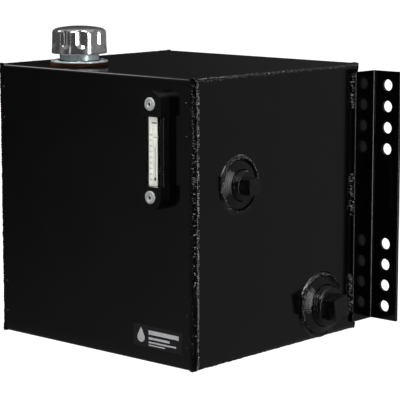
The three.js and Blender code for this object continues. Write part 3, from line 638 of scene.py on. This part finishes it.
def side_plate(sign, ports):
    """An end plate with its port holes, waved a little like the wrapper."""
    name = "side_plate_right" if sign > 0 else "side_plate_left"
    low, high = box_mm(name)
    outer_x = high[0] if sign > 0 else low[0]
    inner_x = outer_x - sign * SHEET
    n = 30
    ys = np.linspace(low[1] + 0.9, high[1] - 0.9, n)
    zs = np.linspace(low[2] + 0.9, high[2] - 0.9, n)
    verts = []
    for skin in (0, 1):
        for y in ys:
            for z in zs:
                edge = min(y - ys[0], ys[-1] - y, z - zs[0], zs[-1] - z)
                wave = SHEET_WAVE * 1.5 * smooth_step(edge, 4, 45) * rough3(outer_x, y, z + 40, 120)
                x = inner_x if skin else outer_x + sign * (wave - SHEET_WAVE * 0.5)
                verts.append((x, y, z))
    rim = ([i * n for i in range(n)] + [(n - 1) * n + j for j in range(1, n)]
           + [i * n + n - 1 for i in range(n - 2, -1, -1)] + list(range(n - 2, 0, -1)))
    faces = two_skins(grid_faces(n, n), zip(rim, rim[1:] + rim[:1]), n * n)
    piece = solid(name + "_sheet", verts, faces, PAINT, SHEET_SMOOTH)
    cutters = []
    for bung, radius in ports:
        _, y, z = middle_mm(bung)
        cutters.append(round_rod(radius, -20, 20, "x", (outer_x, y, z)))
    carve(piece, cutters, SHEET_SMOOTH)
    settle(piece, [name])


wrapper()
side_plate(1, [("return_bung", 31.8), ("suction_bung", 38.3)])
side_plate(-1, [("drain_bung", 17.3)])


# -------------------- weld beads

def ripple(distance, across, seed, pitch=3.3):
    """The stacked-coin surface of a weld: 0 in a valley, 1 on a crest, with uneven spacing."""
    wander = rough3(distance, seed * 31.0, 0, 9.0) * 1.6
    phase = (distance + wander - 2.2 * (1 - across * across)) / pitch
    return 0.5 + 0.5 * math.cos(2 * math.pi * phase)


def corner_weld(sign):
    """The bead that fills the corner round a side plate: a quarter round, rippled and lumpy."""
    name = "corner_weld_right" if sign > 0 else "corner_weld_left"
    front_leg, side_leg = 10.0, 7.6
    lap = 0.3
    arc_steps = 12
    corners = [(-1, 0), (1, 0), (1, 1), (-1, 1)]
    lengths = [2 * HALF_D, HEIGHT, 2 * HALF_D, HEIGHT]
    verts = []
    rows = 0
    travelled = 0.0
    for n, (side, top) in enumerate(corners):
        following = corners[(n + 1) % 4]
        steps = int(lengths[n] / 0.85)
        for s in range(steps):
            t = s / steps
            distance = travelled + t * lengths[n]
            corner_gap = min(t, 1 - t) * lengths[n]
            lump = math.exp(-(corner_gap / 9.0) ** 2)
            for k in range(arc_steps + 1):
                angle = math.radians(90) * k / arc_steps
                across = 2 * k / arc_steps - 1
                crest = ripple(distance, across, n + 5 * sign)
                uneven = rough3(distance, k * 1.3, n * 50.0, 7.0)
                spatter = rough3(distance, k * 1.2, n * 90.0 + 7, 1.7)
                bulge = 0.85 * (crest - 0.6) + 0.6 * uneven + 0.9 * spatter + 1.3 * lump * (0.6 + uneven)
                bulge *= 0.3 + 0.7 * math.sin(math.pi * k / arc_steps)
                x = HALF_W - front_leg + (front_leg + bulge) * math.sin(angle)
                x += lap if k == arc_steps else 0
                inset = side_leg - (side_leg + bulge) * math.cos(angle)
                inset -= lap if k == 0 else 0
                verts.append(weld_point(sign, x, inset, side, top, following, t))
            verts.append(weld_point(sign, HALF_W - 3.2, side_leg + 0.2, side, top, following, t))
            verts.append(weld_point(sign, HALF_W - front_leg - 0.2, 3.2, side, top, following, t))
            rows += 1
        travelled += lengths[n]
    faces = grid_faces(rows, arc_steps + 3, True, True)
    piece = solid(name + "_bead", verts, faces, CORNER_PAINT, 60)
    settle(piece, [name])


def weld_point(sign, x, inset, side, top, following, t):
    """A point of the corner bead, a share t of the way from one corner to the following one."""
    def at(corner):
        y = corner[0] * (HALF_D - inset)
        z = HEIGHT - inset if corner[1] else inset
        return np.array((y, z))
    y, z = at((side, top)) * (1 - t) + at(following) * t
    return (sign * x, y, max(z, 0.05))


def straight_bead(name, node, start, end, width, height, seed, lumps=0.4):
    """A bead with round ends, from start to end. width and height are vectors across and out."""
    start, end = np.array(start, float), np.array(end, float)
    along = end - start
    length = np.linalg.norm(along)
    along /= length
    across, out = np.array(width, float), np.array(height, float)
    rows = int(length / 0.8)
    columns = 13
    verts = []
    for i in range(rows + 1):
        t = i / rows
        from_end = min(t, 1 - t) * length
        swell = math.sqrt(max(0.0, 1 - max(0.0, 1 - from_end / 4.0) ** 2)) * 0.97 + 0.03
        for k in range(columns):
            u = 2 * k / (columns - 1) - 1
            crest = ripple(t * length, u, seed)
            uneven = rough3(t * length, u * 3, seed * 17.0, 6.0)
            grit = rough3(t * length * 1.1, u * 6, seed * 5.0, 1.6)
            lumpy = 0.78 + 0.36 * (crest - 0.5) + lumps * (0.9 * uneven + 0.7 * grit)
            tall = math.sqrt(max(0.0, 1 - u * u)) * lumpy
            side = u * (0.94 + 0.10 * rough3(t * length, seed, 3.0, 5.0))
            point = start + along * t * length + across * side * swell + out * min(tall, 1.3) * swell
            verts.append(point)
    faces = grid_faces(rows + 1, columns, False, True)
    faces.append(tuple(range(columns)))
    faces.append(tuple(range(rows * columns, (rows + 1) * columns)))
    piece = solid(name, verts, faces, WELD_PAINT, 60)
    settle(piece, [node])


corner_weld(1)
corner_weld(-1)

seam_low, seam_high = box_mm("rear_seam_weld")
seam_z = middle_mm("rear_seam_weld")[2]
straight_bead("rear_seam_bead", "rear_seam_weld", (seam_low[0], HALF_D - 0.3, seam_z),
              (seam_high[0], HALF_D - 0.3, seam_z), (0, 0, 4.2), (0, 1.5, 0), 3)

for side_name, sign in (("right", 1), ("left", -1)):
    for i in (1, 2, 3):
        low, high = box_mm(f"bracket_weld_{side_name}_{i}")
        face_x = low[0] if sign > 0 else high[0]
        toe = high[1]
        straight_bead(f"bracket_bead_{side_name}_{i}", f"bracket_weld_{side_name}_{i}",
                      (face_x, toe - 1.0, low[2]), (face_x, toe - 1.0, high[2]),
                      (sign * 1.6, 5.0, 0), (sign * 5.0, -1.6, 0), 10 + i + sign, lumps=0.9)


# -------------------- mounting angles

def mounting_angle(sign):
    """A rolled steel angle with a fillet inside, rounded toes and two groups of holes."""
    name = "bracket_right" if sign > 0 else "bracket_left"
    low, high = box_mm(name)
    near, far = (low[0], high[0]) if sign > 0 else (-high[0], -low[0])
    wall = 4.7625
    front, back = low[1], high[1]
    section = softened([
        (near, front, 0.5), (near + wall, front, 2.4), (near + wall, back - wall, 4.5),
        (far, back - wall, 2.4), (far, back, 0.5), (near, back, 1.0),
    ], 8)
    outline = [(sign * x, y) for x, y in section]
    piece = prism(name + "_angle", outline, low[2], high[2], BRACKET_PAINT)
    hole_x = sign * (HALF_W + 28.6)
    pitch, first, radius = 31.75, 20.6, 8.73
    cutters = []
    for k in range(4):
        for z in (low[2] + first + k * pitch, high[2] - first - k * pitch):
            cutters.append(round_rod(radius, -12, 12, "-y", (hole_x, back, z), 56))
    carve(piece, cutters)
    settle(piece, [name], bevel=0.5)


mounting_angle(1)
mounting_angle(-1)


# -------------------- ports and plugs

def port_bung(node, axis, centre, bore, hub, rim, rise, inside):
    """A turned bung whose face falls from the bore to the rim, with fine turning marks."""
    shoulder = max(0.3, rise - 0.50 * (rim - bore - 2.0))
    middle = (rim + bore + 2.0) / 2
    profile = softened([
        (bore, -inside, 0.6), (hub, -inside, 1.0), (hub, 0.0), (rim, 0.0), (rim, shoulder, 0.8),
        (middle, (shoulder + rise) / 2 + 0.35, 4.0), (bore + 2.0, rise, 1.0), (bore + 0.7, rise, 0.5),
        (bore, rise - 1.0, 0.3),
    ], 6)
    dense = resampled(profile + profile[:1], 0.45, 0.2)

    def turned(radius, h, angle):
        if radius < bore + 2.5 or radius > rim - 0.6 or h < 0.5:
            return radius, h
        ridge = 0.13 * math.sin(2 * math.pi * radius / 2.4)
        chatter = 0.06 * math.sin(70 * angle + radius * 0.4)
        dent = 0.14 * rough3(math.cos(angle) * 9, math.sin(angle) * 9, radius * 0.3, 1.0)
        return radius, h + ridge + chatter + dent

    piece = lathe(node + "_ring", dense, 420, TURNED_PAINT, axis, centre, 50, turned)
    settle(piece, [node])


def port_weld(node, axis, centre, foot, toe, height, seed):
    """A fillet weld round a bung, with radial ripples and a wandering toe."""
    def uneven(radius, h, angle):
        distance = angle * toe
        u = (radius - foot) / (toe - foot) * 2 - 1
        crest = ripple(distance, u, seed, 3.1)
        wander = rough3(math.cos(angle) * 4, math.sin(angle) * 4, seed * 3.0, 1.0)
        fine = rough3(math.cos(angle) * 12, math.sin(angle) * 12, h + seed, 1.0)
        if h <= 0.01:
            return radius + (0.9 * wander if radius > foot + 1 else 0), h
        return radius + 0.5 * wander, h * (1 + 0.3 * (crest - 0.5) + 0.3 * wander + 0.25 * fine)
    profile = [(foot - 0.8, 0.0), (toe, 0.0)]
    for k in range(1, 11):
        t = k / 10
        profile.append((toe + (foot - toe) * t, height * math.sin(math.pi / 2 * min(1, t * 1.12)) ** 0.9))
    profile.append((foot - 0.8, height * 0.96))
    piece = lathe(node + "_bead", profile, 420, WELD_PAINT, axis, centre, 60, uneven)
    settle(piece, [node])


THREAD_DEPTH = 1.35


def pipe_plug(node, axis, centre, thread, shoulder, head, head_length, inside, turn=0, pitch=2.209):
    """A square-head plug: a helical thread below a chamfered shoulder, then the head."""
    def threaded(radius, h, angle):
        if radius < thread - 3 or h > shoulder - 2.2 or h < -inside + 1:
            return radius, h
        phase = h / pitch - angle / (2 * math.pi)
        shade_ring_profile = abs((phase % 1.0) * 2 - 1)
        fade = smooth_step(shoulder - 2.2 - h, 0, 1.5)
        return radius - THREAD_DEPTH * smooth_step(shade_ring_profile, 0.15, 0.85) * fade, h
    profile = [(0, -inside), (thread - 2.0, -inside)]
    h = -inside + 1.0
    while h < shoulder - 2.6:
        profile.append((thread - 0.1, h))
        h += 0.34
    profile += softened([(thread - 0.1, shoulder - 2.4, 0.6), (thread - 2.6, shoulder, 0.8), (0, shoulder)],
                        4, False)
    body = lathe(node + "_body", profile, 110, IRON, axis, centre, 50, threaded)
    settle(body, [node], node)
    half = head / 2
    outline = turned_points(rectangle(-half, half, -half, half, 1.8), turn)
    square = prism(node + "_square", outline, shoulder - 1.5, shoulder + head_length, IRON, axis, centre)
    settle(square, [node], node, bevel=1.3, segments=4)


def port_place(bung, side):
    """The way a port points, and its middle on the end plate's face."""
    _, y, z = middle_mm(bung)
    return ("x" if side > 0 else "-x"), (side * HALF_W, y, z)


right_return = port_place("return_bung", 1)
port_bung("return_bung", *right_return, bore=21.7, hub=31.5, rim=36.3, rise=6.2, inside=15)
port_weld("return_bung_weld", *right_return, foot=36.4, toe=42.2, height=3.7, seed=2)
pipe_plug("return_plug", *right_return, thread=21.1, shoulder=15, head=22.225, head_length=14, inside=12)

right_suction = port_place("suction_bung", 1)
port_bung("suction_bung", *right_suction, bore=30.6, hub=38, rim=43.4, rise=10, inside=15)
port_weld("suction_bung_weld", *right_suction, foot=43.5, toe=49.2, height=5.2, seed=5)
pipe_plug("suction_plug", *right_suction, thread=30.0, shoulder=22.3, head=31.75, head_length=17.4,
          inside=12, turn=12)

left_drain = port_place("drain_bung", -1)
port_bung("drain_bung", *left_drain, bore=13.6, hub=17, rim=20, rise=5, inside=12)
port_weld("drain_bung_weld", *left_drain, foot=20.1, toe=24.8, height=3.2, seed=8)
pipe_plug("drain_plug", *left_drain, thread=13.1, shoulder=9, head=16, head_length=10, inside=10,
          pitch=1.814)


# -------------------- filler neck and cap

FILLER = middle_mm("cap_shell")
FILLER_AT = (FILLER[0], FILLER[1], 0)
GASKET_EDGE = 42.0
NECK_BORE, NECK_SIDE, NECK_LIP = 26.8, 28.5, 20.0
FLANGE_EDGE, FLANGE_RISE = 41.5, 2.2
SCREW_CIRCLE = 36.5


def screw_points():
    return [ring_point(SCREW_CIRCLE, 15 + 60 * k) for k in range(6)]


def bulged(radius, h, angle):
    """The uneven outer edge of a squeezed gasket."""
    if radius < GASKET_EDGE - 7:
        return radius, h
    return radius + 0.35 * rough3(math.cos(angle) * 5, math.sin(angle) * 5, h, 1.0), h


def filler():
    """The gaskets, the neck with its flange and bayonet notches, and the six screws."""
    bore, under, edge = FILLER_BORE, GASKET_EDGE - 0.4, GASKET_EDGE
    for node in ("filler_gasket_lower", "filler_gasket_upper"):
        low, high = box_mm(node)
        if node == "filler_gasket_lower":
            profile = [(bore, low[2] - 0.2), (edge, low[2] - 0.2, 0.7), (edge + 0.1, low[2] + 2.4),
                       (under, low[2] + 2.4), (under, high[2] + 0.1), (bore, high[2] + 0.1)]
        else:
            profile = [(bore, low[2] - 0.1), (under, low[2] - 0.1), (under, low[2] - 0.6),
                       (edge + 0.1, low[2] - 0.6), (edge, high[2] + 0.2, 0.7), (bore, high[2] + 0.2)]
        profile = softened(profile, 5)
        piece = lathe(node + "_ring", profile, 160, CORK, "z", FILLER_AT, 50, bulged)
        settle(piece, [node])
    low, high = box_mm("filler_neck")
    base, top = low[2], high[2]
    profile = softened([
        (NECK_BORE, base, 0.3), (FLANGE_EDGE, base, 0.5), (FLANGE_EDGE, base + FLANGE_RISE, 0.9),
        (NECK_SIDE, base + FLANGE_RISE, 0.4), (NECK_SIDE, top - 3.2, 0.5),
        (NECK_SIDE + 0.4, top - 2.6, 0.5), (NECK_SIDE, top, 1.0), (NECK_LIP, top, 0.5),
        (NECK_LIP, top - 1.5, 0.3), (NECK_BORE, top - 1.5, 0.6),
    ], 5)
    neck = lathe("filler_neck_shell", profile, 160, ZINC, "z", FILLER_AT, 40)
    notches = []
    for turn in (0, 180):
        outline = [(0.0, 0.0)] + [ring_point(25.2, turn + a) for a in range(-24, 25, 4)]
        notches.append(prism("cutter", outline, top - 2.6, top + 2, ZINC, "z", FILLER_AT))
    carve(neck, notches, 40)
    settle(neck, ["filler_neck"])
    # A dark ring in the rubber material round the neck's base: painted shade for the crease where the neck
    # meets its flange
    shade_ring_profile = softened([(NECK_SIDE - 0.3, base + 2.0), (NECK_SIDE + 2.5, base + 2.0),
                       (NECK_SIDE + 2.1, base + 2.9, 0.4), (NECK_SIDE - 0.3, base + 3.2, 0.4)], 4)
    settle(lathe("filler_neck_painted_shade_ring", shade_ring_profile, 96, RUBBER, "z", FILLER_AT, 50))
    for k, (x, y) in enumerate(screw_points()):
        z = base + 2.3
        profile = softened([(0, z - 14), (2.2, z - 14, 0.4), (2.2, z), (4.2, z, 0.2), (4.0, z + 0.6, 0.4),
                            (0, z + 1.1)], 4)
        screw = lathe(f"filler_screw_{k + 1}_pan", profile, 32, BOLT_ZINC, "z",
                      (FILLER[0] + x, FILLER[1] + y, 0), 40)
        slots = []
        for turn in (20 + 47 * k, 110 + 47 * k):
            outline = turned_points(rectangle(-2.6, 2.6, -0.5, 0.5), turn)
            slots.append(prism("cutter", outline, z + 0.5, z + 4, ZINC, "z",
                               (FILLER[0] + x, FILLER[1] + y, 0)))
        carve(screw, slots, 40)
        settle(screw, [f"filler_screw_{k + 1}"])


def soft_min(a, b, k):
    """The smaller of two values, blended over a width k."""
    h = max(k - abs(a - b), 0.0) / k
    return min(a, b) - h * h * k * 0.25


def cap():
    """The chrome cap: a pressed dome with ten flutes whose edges roll over."""
    top = box_mm("cap_shell")[1][2]
    t = top - 57.0
    outer = softened([
        (39.2, t + 17.8, 0.3), (40.0, t + 18.4, 0.6), (40.0, t + 21.5, 1.0), (39.5, t + 26.0, 2.0),
        (38.9, t + 50.4, 3.4), (34.0, t + 53.4, 2.2), (27.0, t + 55.0, 3.0), (13, t + 56.7, 4.0), (0, top),
    ], 8, False)
    dense = resampled(outer, 0.6) + [outer[-1]]
    inner = [(0, t + 52.4), (28, t + 51.6), (33.5, t + 50.2), (35.4, t + 46.0), (35.4, t + 18.3),
             (36.4, t + 17.8)]
    spacing, first_flute = 36, 32
    distance, flute_radius, bottom = 47.6, 11.6, t + 23.6

    def fluted(radius, h, angle):
        over = h - bottom
        if radius < 36.2 or over <= 0:
            return radius, h
        nearest = (math.degrees(angle) - first_flute + spacing / 2) % spacing - spacing / 2
        delta = math.radians(nearest)
        rho = flute_radius * math.sqrt(max(0.0, 1 - max(0.0, 1 - over / flute_radius) ** 2))
        inside = rho * rho - (distance * math.sin(delta)) ** 2
        if inside <= 0:
            return radius, h
        boundary = distance * math.cos(delta) - math.sqrt(inside)
        return soft_min(radius, boundary, 3.0), h

    piece = lathe("cap_dome", dense + inner, 360, CHROME, "z", FILLER_AT, 60, fluted)
    settle(piece, ["cap_shell"], "filler_cap")


filler()
cap()

for node, material in (("baffle_plate", PAINT), ("strainer_basket", ZINC), ("cap_seal", RUBBER),
                       ("cap_lock_plate", ZINC), ("breather_element", FELT), ("cap_stud", ZINC),
                       ("gauge_seal_upper", RUBBER), ("gauge_seal_lower", RUBBER),
                       ("gauge_nut_upper", ZINC), ("gauge_nut_lower", ZINC)):
    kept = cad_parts[node]
    kept.data.materials.clear()
    kept.data.materials.append(material)


# -------------------- level gauge

GAUGE_LOW, GAUGE_HIGH = box_mm("gauge_housing")
UPPER_CAP_LOW, UPPER_CAP_HIGH = box_mm("gauge_cap_upper")
LOWER_CAP_LOW, LOWER_CAP_HIGH = box_mm("gauge_cap_lower")
CARD_FRONT = 12.0
CAP_FRONT = 19.5
BASE_FRONT = 4.4
GUARD_FRONT = 13.5
GAUGE_HALF, GAUGE_ROUND = 18.5, 18.2


def d_outline(low, high, round_low, round_high):
    half, radius = GAUGE_HALF, GAUGE_ROUND
    points = []
    for is_round, side, z, first in ((round_low, -1, low, 180), (round_high, 1, high, 0)):
        if is_round:
            points += [(ring_point(half, a)[0], z - side * radius + ring_point(radius, a)[1])
                       for a in range(first, first + 181, 6)]
        else:
            points += [(side * half, z), (-side * half, z)]
    return [(x + GAUGE_X, z) for x, z in points]


def level_gauge():
    """The gauge's base, its two guards, and an end cap and bolt at each end of the tube."""
    at = (0, FACE, 0)
    outline = d_outline(GAUGE_LOW[2], GAUGE_HIGH[2], True, True)
    base = prism("gauge_base", outline, 0.1, BASE_FRONT, PLASTIC, "-y", at)
    carve(base, [round_rod(GAUGE_HOLE, -2, 8, "-y", (GAUGE_X, FACE, z), 32) for z in GAUGE_BOLTS_Z])
    settle(base, ["gauge_housing"], bevel=0.6)
    for name, side, inner in (("gauge_guard_left", -1, 12.8), ("gauge_guard_right", 1, 11.4)):
        x0, x1 = sorted((GAUGE_X + side * GAUGE_HALF, GAUGE_X + side * inner))
        outline = rectangle(x0, x1, LOWER_CAP_HIGH[2] - 0.2, UPPER_CAP_LOW[2] + 0.2)
        guard = prism(name, outline, BASE_FRONT - 0.5, GUARD_FRONT, PLASTIC, "-y", at)
        settle(guard, ["gauge_housing"], bevel=1.3)
    for node, low, high, flat_low in (("gauge_cap_upper", UPPER_CAP_LOW, UPPER_CAP_HIGH, True),
                                      ("gauge_cap_lower", LOWER_CAP_LOW, LOWER_CAP_HIGH, False)):
        outline = d_outline(low[2], high[2], not flat_low, flat_low)
        block = prism(node + "_block", outline, BASE_FRONT - 0.1, CAP_FRONT, PLASTIC, "-y", at)
        middle = high[2] - GAUGE_ROUND if flat_low else low[2] + GAUGE_ROUND
        carve(block, [round_rod(GAUGE_HOLE + 0.1, 0, 30, "-y", (GAUGE_X, FACE, middle), 32)])
        settle(block, [node], bevel=1.5, segments=4)
        bolt_head(node.replace("cap", "bolt"), middle)
    tube()


def bolt_head(node, z):
    """A round bolt head with a shallow hexagon socket, nearly filled by a dark iron hexagon that is painted
    shade for the socket's depth.
    """
    centre = (GAUGE_X, FACE, z)
    seat = CAP_FRONT + 0.1
    top = CAP_FRONT + 1.8
    shank, rim, inside = 5, 9.0, -16
    profile = softened([
        (0, inside), (shank, inside, 0.6), (shank, seat), (rim, seat, 0.3), (rim, top, 0.7),
        (4.6, top + 0.2, 0.4), (3.9, top - 0.7, 0.3), (3.2, top, 0.3), (0, top),
    ], 4)
    head = lathe(node + "_head", profile, 72, BOLT_ZINC, "-y", centre, 40)
    hexagon = [ring_point(2.2, 60 * k + 12) for k in range(6)]
    socket = prism("cutter", hexagon, 17.5, 23, ZINC, "-y", centre)
    carve(head, [socket], 40)
    settle(head, [node])
    # painted shade: a dark iron hexagon sits 0.6 mm down in the socket in place of its shadowed depth
    socket_painted_shade = prism(node + "_mark", hexagon, 18.9, 20.7, IRON, "-y", centre)
    settle(socket_painted_shade, bevel=0.15, segments=2)


def words(name, text, x, z, size, depth, y, material):
    """Generic figures for the scale, as flat raised ink."""
    curve = bpy.data.curves.new(name, "FONT")
    curve.body = text
    curve.size = size * MM
    curve.extrude = depth * MM
    curve.align_x = "CENTER"
    curve.align_y = "CENTER"
    curve.resolution_u = 3
    holder = bpy.data.objects.new(name + "_curve", curve)
    holder.rotation_euler = (math.radians(90), 0, 0)
    holder.location = (x * MM, y * MM, z * MM)
    bpy.context.scene.collection.objects.link(holder)
    bpy.context.view_layer.update()
    mesh = bpy.data.meshes.new_from_object(holder.evaluated_get(bpy.context.evaluated_depsgraph_get()))
    mesh.transform(holder.matrix_world)
    mesh.materials.clear()
    bpy.data.objects.remove(holder)
    return object_from(name, mesh, material)


def mark(outline, thickness, material, y):
    return prism("mark", outline, 0, thickness, material, "-y", (0, y, 0))


def tube():
    """The clear tube, the scale card with its marks and figures, and the thermometer."""
    low, high = box_mm("gauge_tube")
    left, right, wall, front_wall = GAUGE_X - 11.0, GAUGE_X + 11.0, 1.8, 2.2
    front, back = low[1], high[1]
    section = softened([(left, back, 0.6), (left, front, 4.5), (right, front, 4.5), (right, back, 0.6)], 7)
    piece = prism("gauge_tube_clear", section, low[2] - 0.2, high[2] + 0.2, CLEAR)
    hollow = softened([(left + wall, back - wall, 0.3), (left + wall, front + front_wall, 2.5),
                       (right - wall, front + front_wall, 2.5), (right - wall, back - wall, 0.3)], 6)
    carve(piece, [prism("cutter", hollow, low[2] - 5, high[2] + 5, CLEAR)], 40)
    settle(piece, ["gauge_tube"])

    low, high = box_mm("gauge_scale_plate")
    plate = prism("gauge_scale_card", rectangle(low[0], high[0] - 2.6, low[2] - 0.6, high[2] + 0.6, 0.5),
                  CARD_FRONT - 0.6, CARD_FRONT, SCALE, "-y", (0, FACE, 0))
    settle(plate, ["gauge_scale_plate"])
    front_y = FACE - CARD_FRONT - 0.06
    marks = []
    z0, z1 = low[2] + 8, high[2] - 9
    intervals, per_figure = 40, 4
    for k in range(intervals + 1):
        z = z0 + (z1 - z0) * k / intervals
        x0 = GAUGE_X - (1.5 if k % per_figure else 2.6)
        marks.append(mark(rectangle(x0, GAUGE_X - 0.2, z - 0.16, z + 0.16), 0.1, INK, front_y + 0.05))
    for left, down, tall in ((-3.5, 7.0, 1.6), (1.0, 26.8, 0.8)):
        bar = rectangle(GAUGE_X + left, GAUGE_X + 5.4, high[2] - down - tall, high[2] - down)
        marks.append(mark(bar, 0.1, INK, front_y + 0.05))
    settle(merged("gauge_scale_marks", marks))
    figures = []
    for n in range(9):
        z = z0 + (z1 - z0) * (n * per_figure) / intervals
        figures.append(words("gauge_figure", str(20 + 10 * n), GAUGE_X - 5.6, z, 3.2, 0.05, front_y, INK))
    settle(merged("gauge_scale_figures", figures))

    low, high = box_mm("gauge_thermometer")
    x, y = (low[0] + high[0]) / 2 - 1.8, FACE - CARD_FRONT - 0.5
    profile = softened([(0, low[2]), (1.0, low[2] + 0.2, 0.5), (1.5, low[2] + 2, 0.8),
                        (1.5, low[2] + 3.8, 0.8), (0.35, low[2] + 5, 0.8), (0.35, high[2] - 0.8, 0.3),
                        (0, high[2])], 4)
    stem = lathe("gauge_thermometer_stem", profile, 24, SPIRIT, "z", (x, y, 0), 50)
    settle(stem, ["gauge_thermometer"])


level_gauge()


# -------------------- label and weld dots

def label():
    low, high = box_mm("data_label")
    at = (0, FACE, 0)
    film = prism("label_sheet", rectangle(low[0], high[0], low[2], high[2], 2.0), 0.02, 0.55, FILM, "-y", at)
    settle(film, ["data_label"], bevel=0.12, segments=2)
    cx, cz = low[0] + 14.5, (low[2] + high[2]) / 2 - 2.0
    round_end = [ring_point(7.0, a) for a in range(155, 386, 7)]
    drop = [(cx + u, cz + v) for u, v in round_end] + [(cx, cz + 15.0)]
    marks = [mark(drop, 0.12, LABEL_WHITE, FACE - 0.55)]
    left = low[0] + 29
    for short, down, tall in ((7, 5.5, 6.0), (24, 15.0, 3.5), (12, 21.2, 2.3), (33, 25.6, 1.7)):
        bar = rectangle(left, high[0] - short, high[2] - down - tall, high[2] - down, 0.8)
        marks.append(mark(bar, 0.12, LABEL_WHITE, FACE - 0.55))
    settle(merged("label_marks", marks))


def weld_dots():
    """Small round marks where tack welds behind the front sheet show through."""
    dots = []
    for x, radius in ((-183.5, 1.9), (179.5, 2.1)):
        for z in (30.5, 76.0, 321.0, 366.0):
            profile = softened([(0, -0.4), (radius, -0.4), (radius, 0.1, 0.2), (radius * 0.6, 0.8, 0.5),
                                (0, 0.95)], 4)
            dots.append(lathe("dot", profile, 20, WELD_PAINT, "-y", (x, FACE, z), 60))
    settle(merged("front_weld_dots", dots))


label()
weld_dots()
